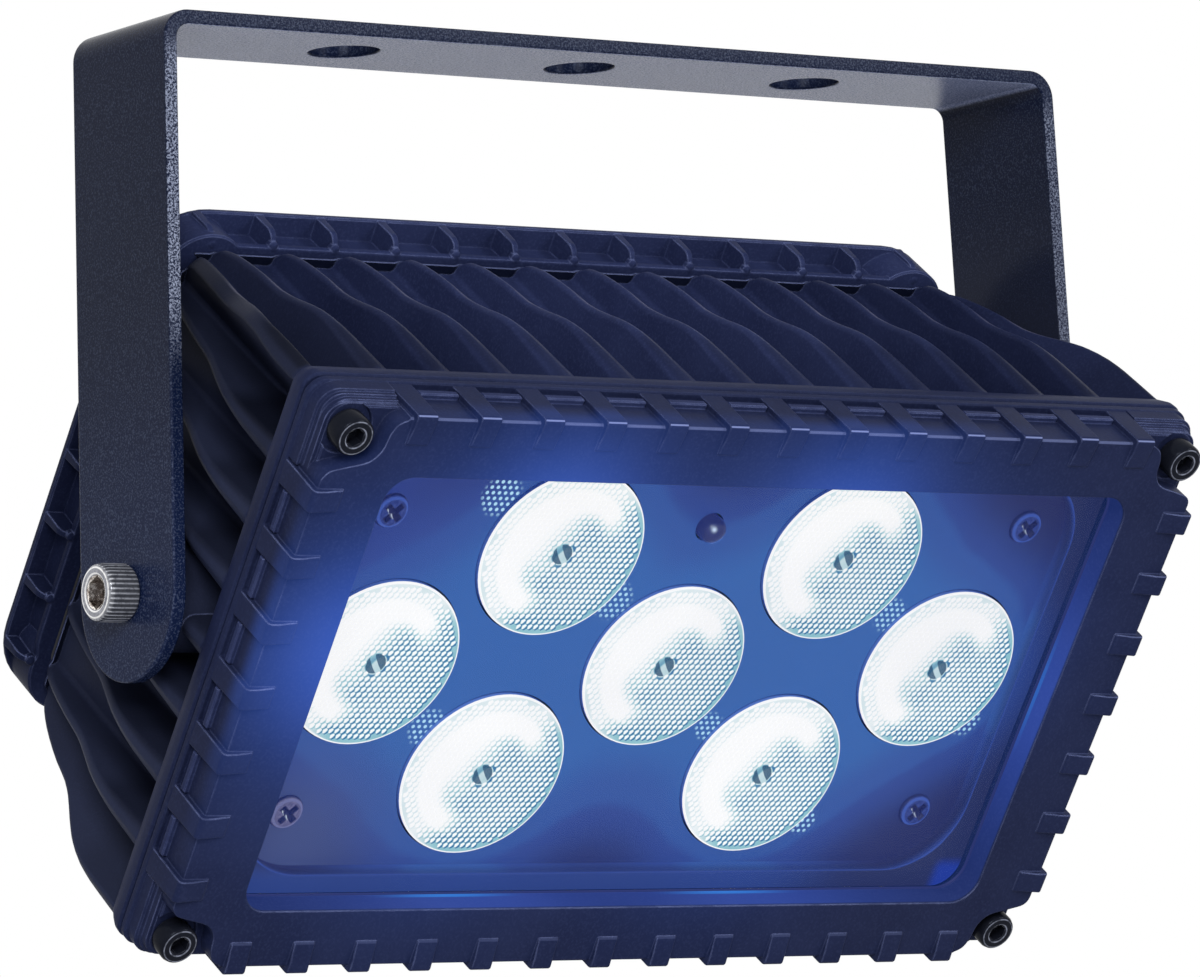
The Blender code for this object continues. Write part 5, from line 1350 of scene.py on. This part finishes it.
gland, gland_cap = gland_body_mesh(), gland_cap_mesh()
for name, across in zip(("left", "middle", "right"), row(3, GLAND_SPACING)):
    at = LAMP @ shift(across, COVER_BACK, GLAND_UP)
    dress(f"gland_nut_{name}", gland, [f"gland_body_{name}"], axes=at)
    dress(f"gland_dome_{name}", gland_cap, [f"gland_cap_{name}"], axes=at)

for name, node in frame["nodes"].items():
    if not node.hide_render:
        node.data.materials.clear()
        node.data.materials.append(SMOKED_ACRYLIC if name == "display_window" else FINISHES[SLOT[name]])


# Studio

def white_paper():
    """Pale floor that reads white to the camera, takes the lamp's shadow and is clear from below."""
    finish = Finish("white_paper", Specular_IOR_Level=0.1)
    grain = finish.noise(0.02)
    finish.feed(Base_Color=finish.blend(grain, (0.8, 0.8, 0.8), (0.84, 0.84, 0.84)),
                Roughness=grain * 0.1 + 0.8)
    lit = finish.node("ShaderNodeEmission", {"Color": (1, 1, 1, 1)})
    paper = Signal(finish, finish.shader.outputs[0])
    shown = finish.node("ShaderNodeMixShader", {0: finish.seen_directly() * 0.62, 1: paper, 2: lit})
    under = finish.node("ShaderNodeNewGeometry", output="Backfacing")
    clear = finish.node("ShaderNodeBsdfTransparent")
    both = finish.node("ShaderNodeMixShader", {0: under, 1: shown, 2: clear})
    finish.put(finish.tree.nodes["Material Output"].inputs["Surface"], both)
    return finish.material


def make_floor():
    """A large sheet of paper well under the hanging lamp."""
    edit = bmesh.new()
    bmesh.ops.create_grid(edit, x_segments=8, y_segments=8, size=4)
    mesh = bpy.data.meshes.new("floor")
    edit.to_mesh(mesh)
    edit.free()
    floor = bpy.data.objects.new("floor", mesh)
    floor.location = (0, 0, -FLOOR_DROP * MM)
    mesh.materials.append(white_paper())
    bpy.context.scene.collection.objects.link(floor)


def make_world(soft_light):
    """White all round for what the camera and reflections see, soft grey for lighting."""
    world = bpy.data.worlds.new("studio")
    bpy.context.scene.world = world
    world.use_nodes = True
    nodes = Nodes(world.node_tree)
    back = nodes.tree.nodes["Background"].inputs
    nodes.put(back["Color"], (1, 1, 1, 1))
    nodes.put(back["Strength"], nodes.node("ShaderNodeMapRange", {
        "Value": nodes.seen_directly(), "To Min": soft_light, "To Max": 1}))


def make_softbox(name, place, target, size, power):
    """A square area lamp that the camera doesn't see."""
    light = bpy.data.lights.new(name, "AREA")
    light.shape = "SQUARE"
    light.size = size
    light.energy = power
    box = bpy.data.objects.new(name, light)
    box.location = place
    box.rotation_euler = (Vector(target) - Vector(place)).to_track_quat("-Z", "Y").to_euler()
    box.visible_camera = False
    bpy.context.scene.collection.objects.link(box)


def make_camera():
    """The photograph's own viewpoint, solved from the object's straight edges."""
    azimuth, elevation, roll = (math.radians(value) for value in (-35.58, -5.88, -2.56))
    focal_pixels, photo_width, sensor = 7156.6, 1200, 36
    back = Vector((math.sin(azimuth) * math.cos(elevation), -math.cos(azimuth) * math.cos(elevation),
                   math.sin(elevation)))
    right = Vector((math.cos(azimuth), math.sin(azimuth), 0))
    up = right.cross(-back)
    turn = Matrix((math.cos(roll) * right + math.sin(roll) * up,
                   -math.sin(roll) * right + math.cos(roll) * up, back)).transposed().to_4x4()
    target = Vector((0.47, 0, 20.02 - AXIS_DROP))
    data = bpy.data.cameras.new("photo_camera")
    data.sensor_width = sensor
    data.lens = focal_pixels / photo_width * sensor
    data.clip_start, data.clip_end = 0.05, 50
    camera = bpy.data.objects.new("photo_camera", data)
    camera.matrix_world = shift(*(target + back * 1263.9)) @ turn
    bpy.context.scene.collection.objects.link(camera)
    bpy.context.scene.camera = camera


make_floor()
make_world(0.27)
middle = (0, 0, -0.08)
make_softbox("key", (-0.9, -1.3, 0.35), middle, 0.7, 17)
make_softbox("fill", (0.8, -1.2, 0.5), middle, 0.5, 7)
make_camera()
bpy.context.scene.view_settings.view_transform = "Standard"
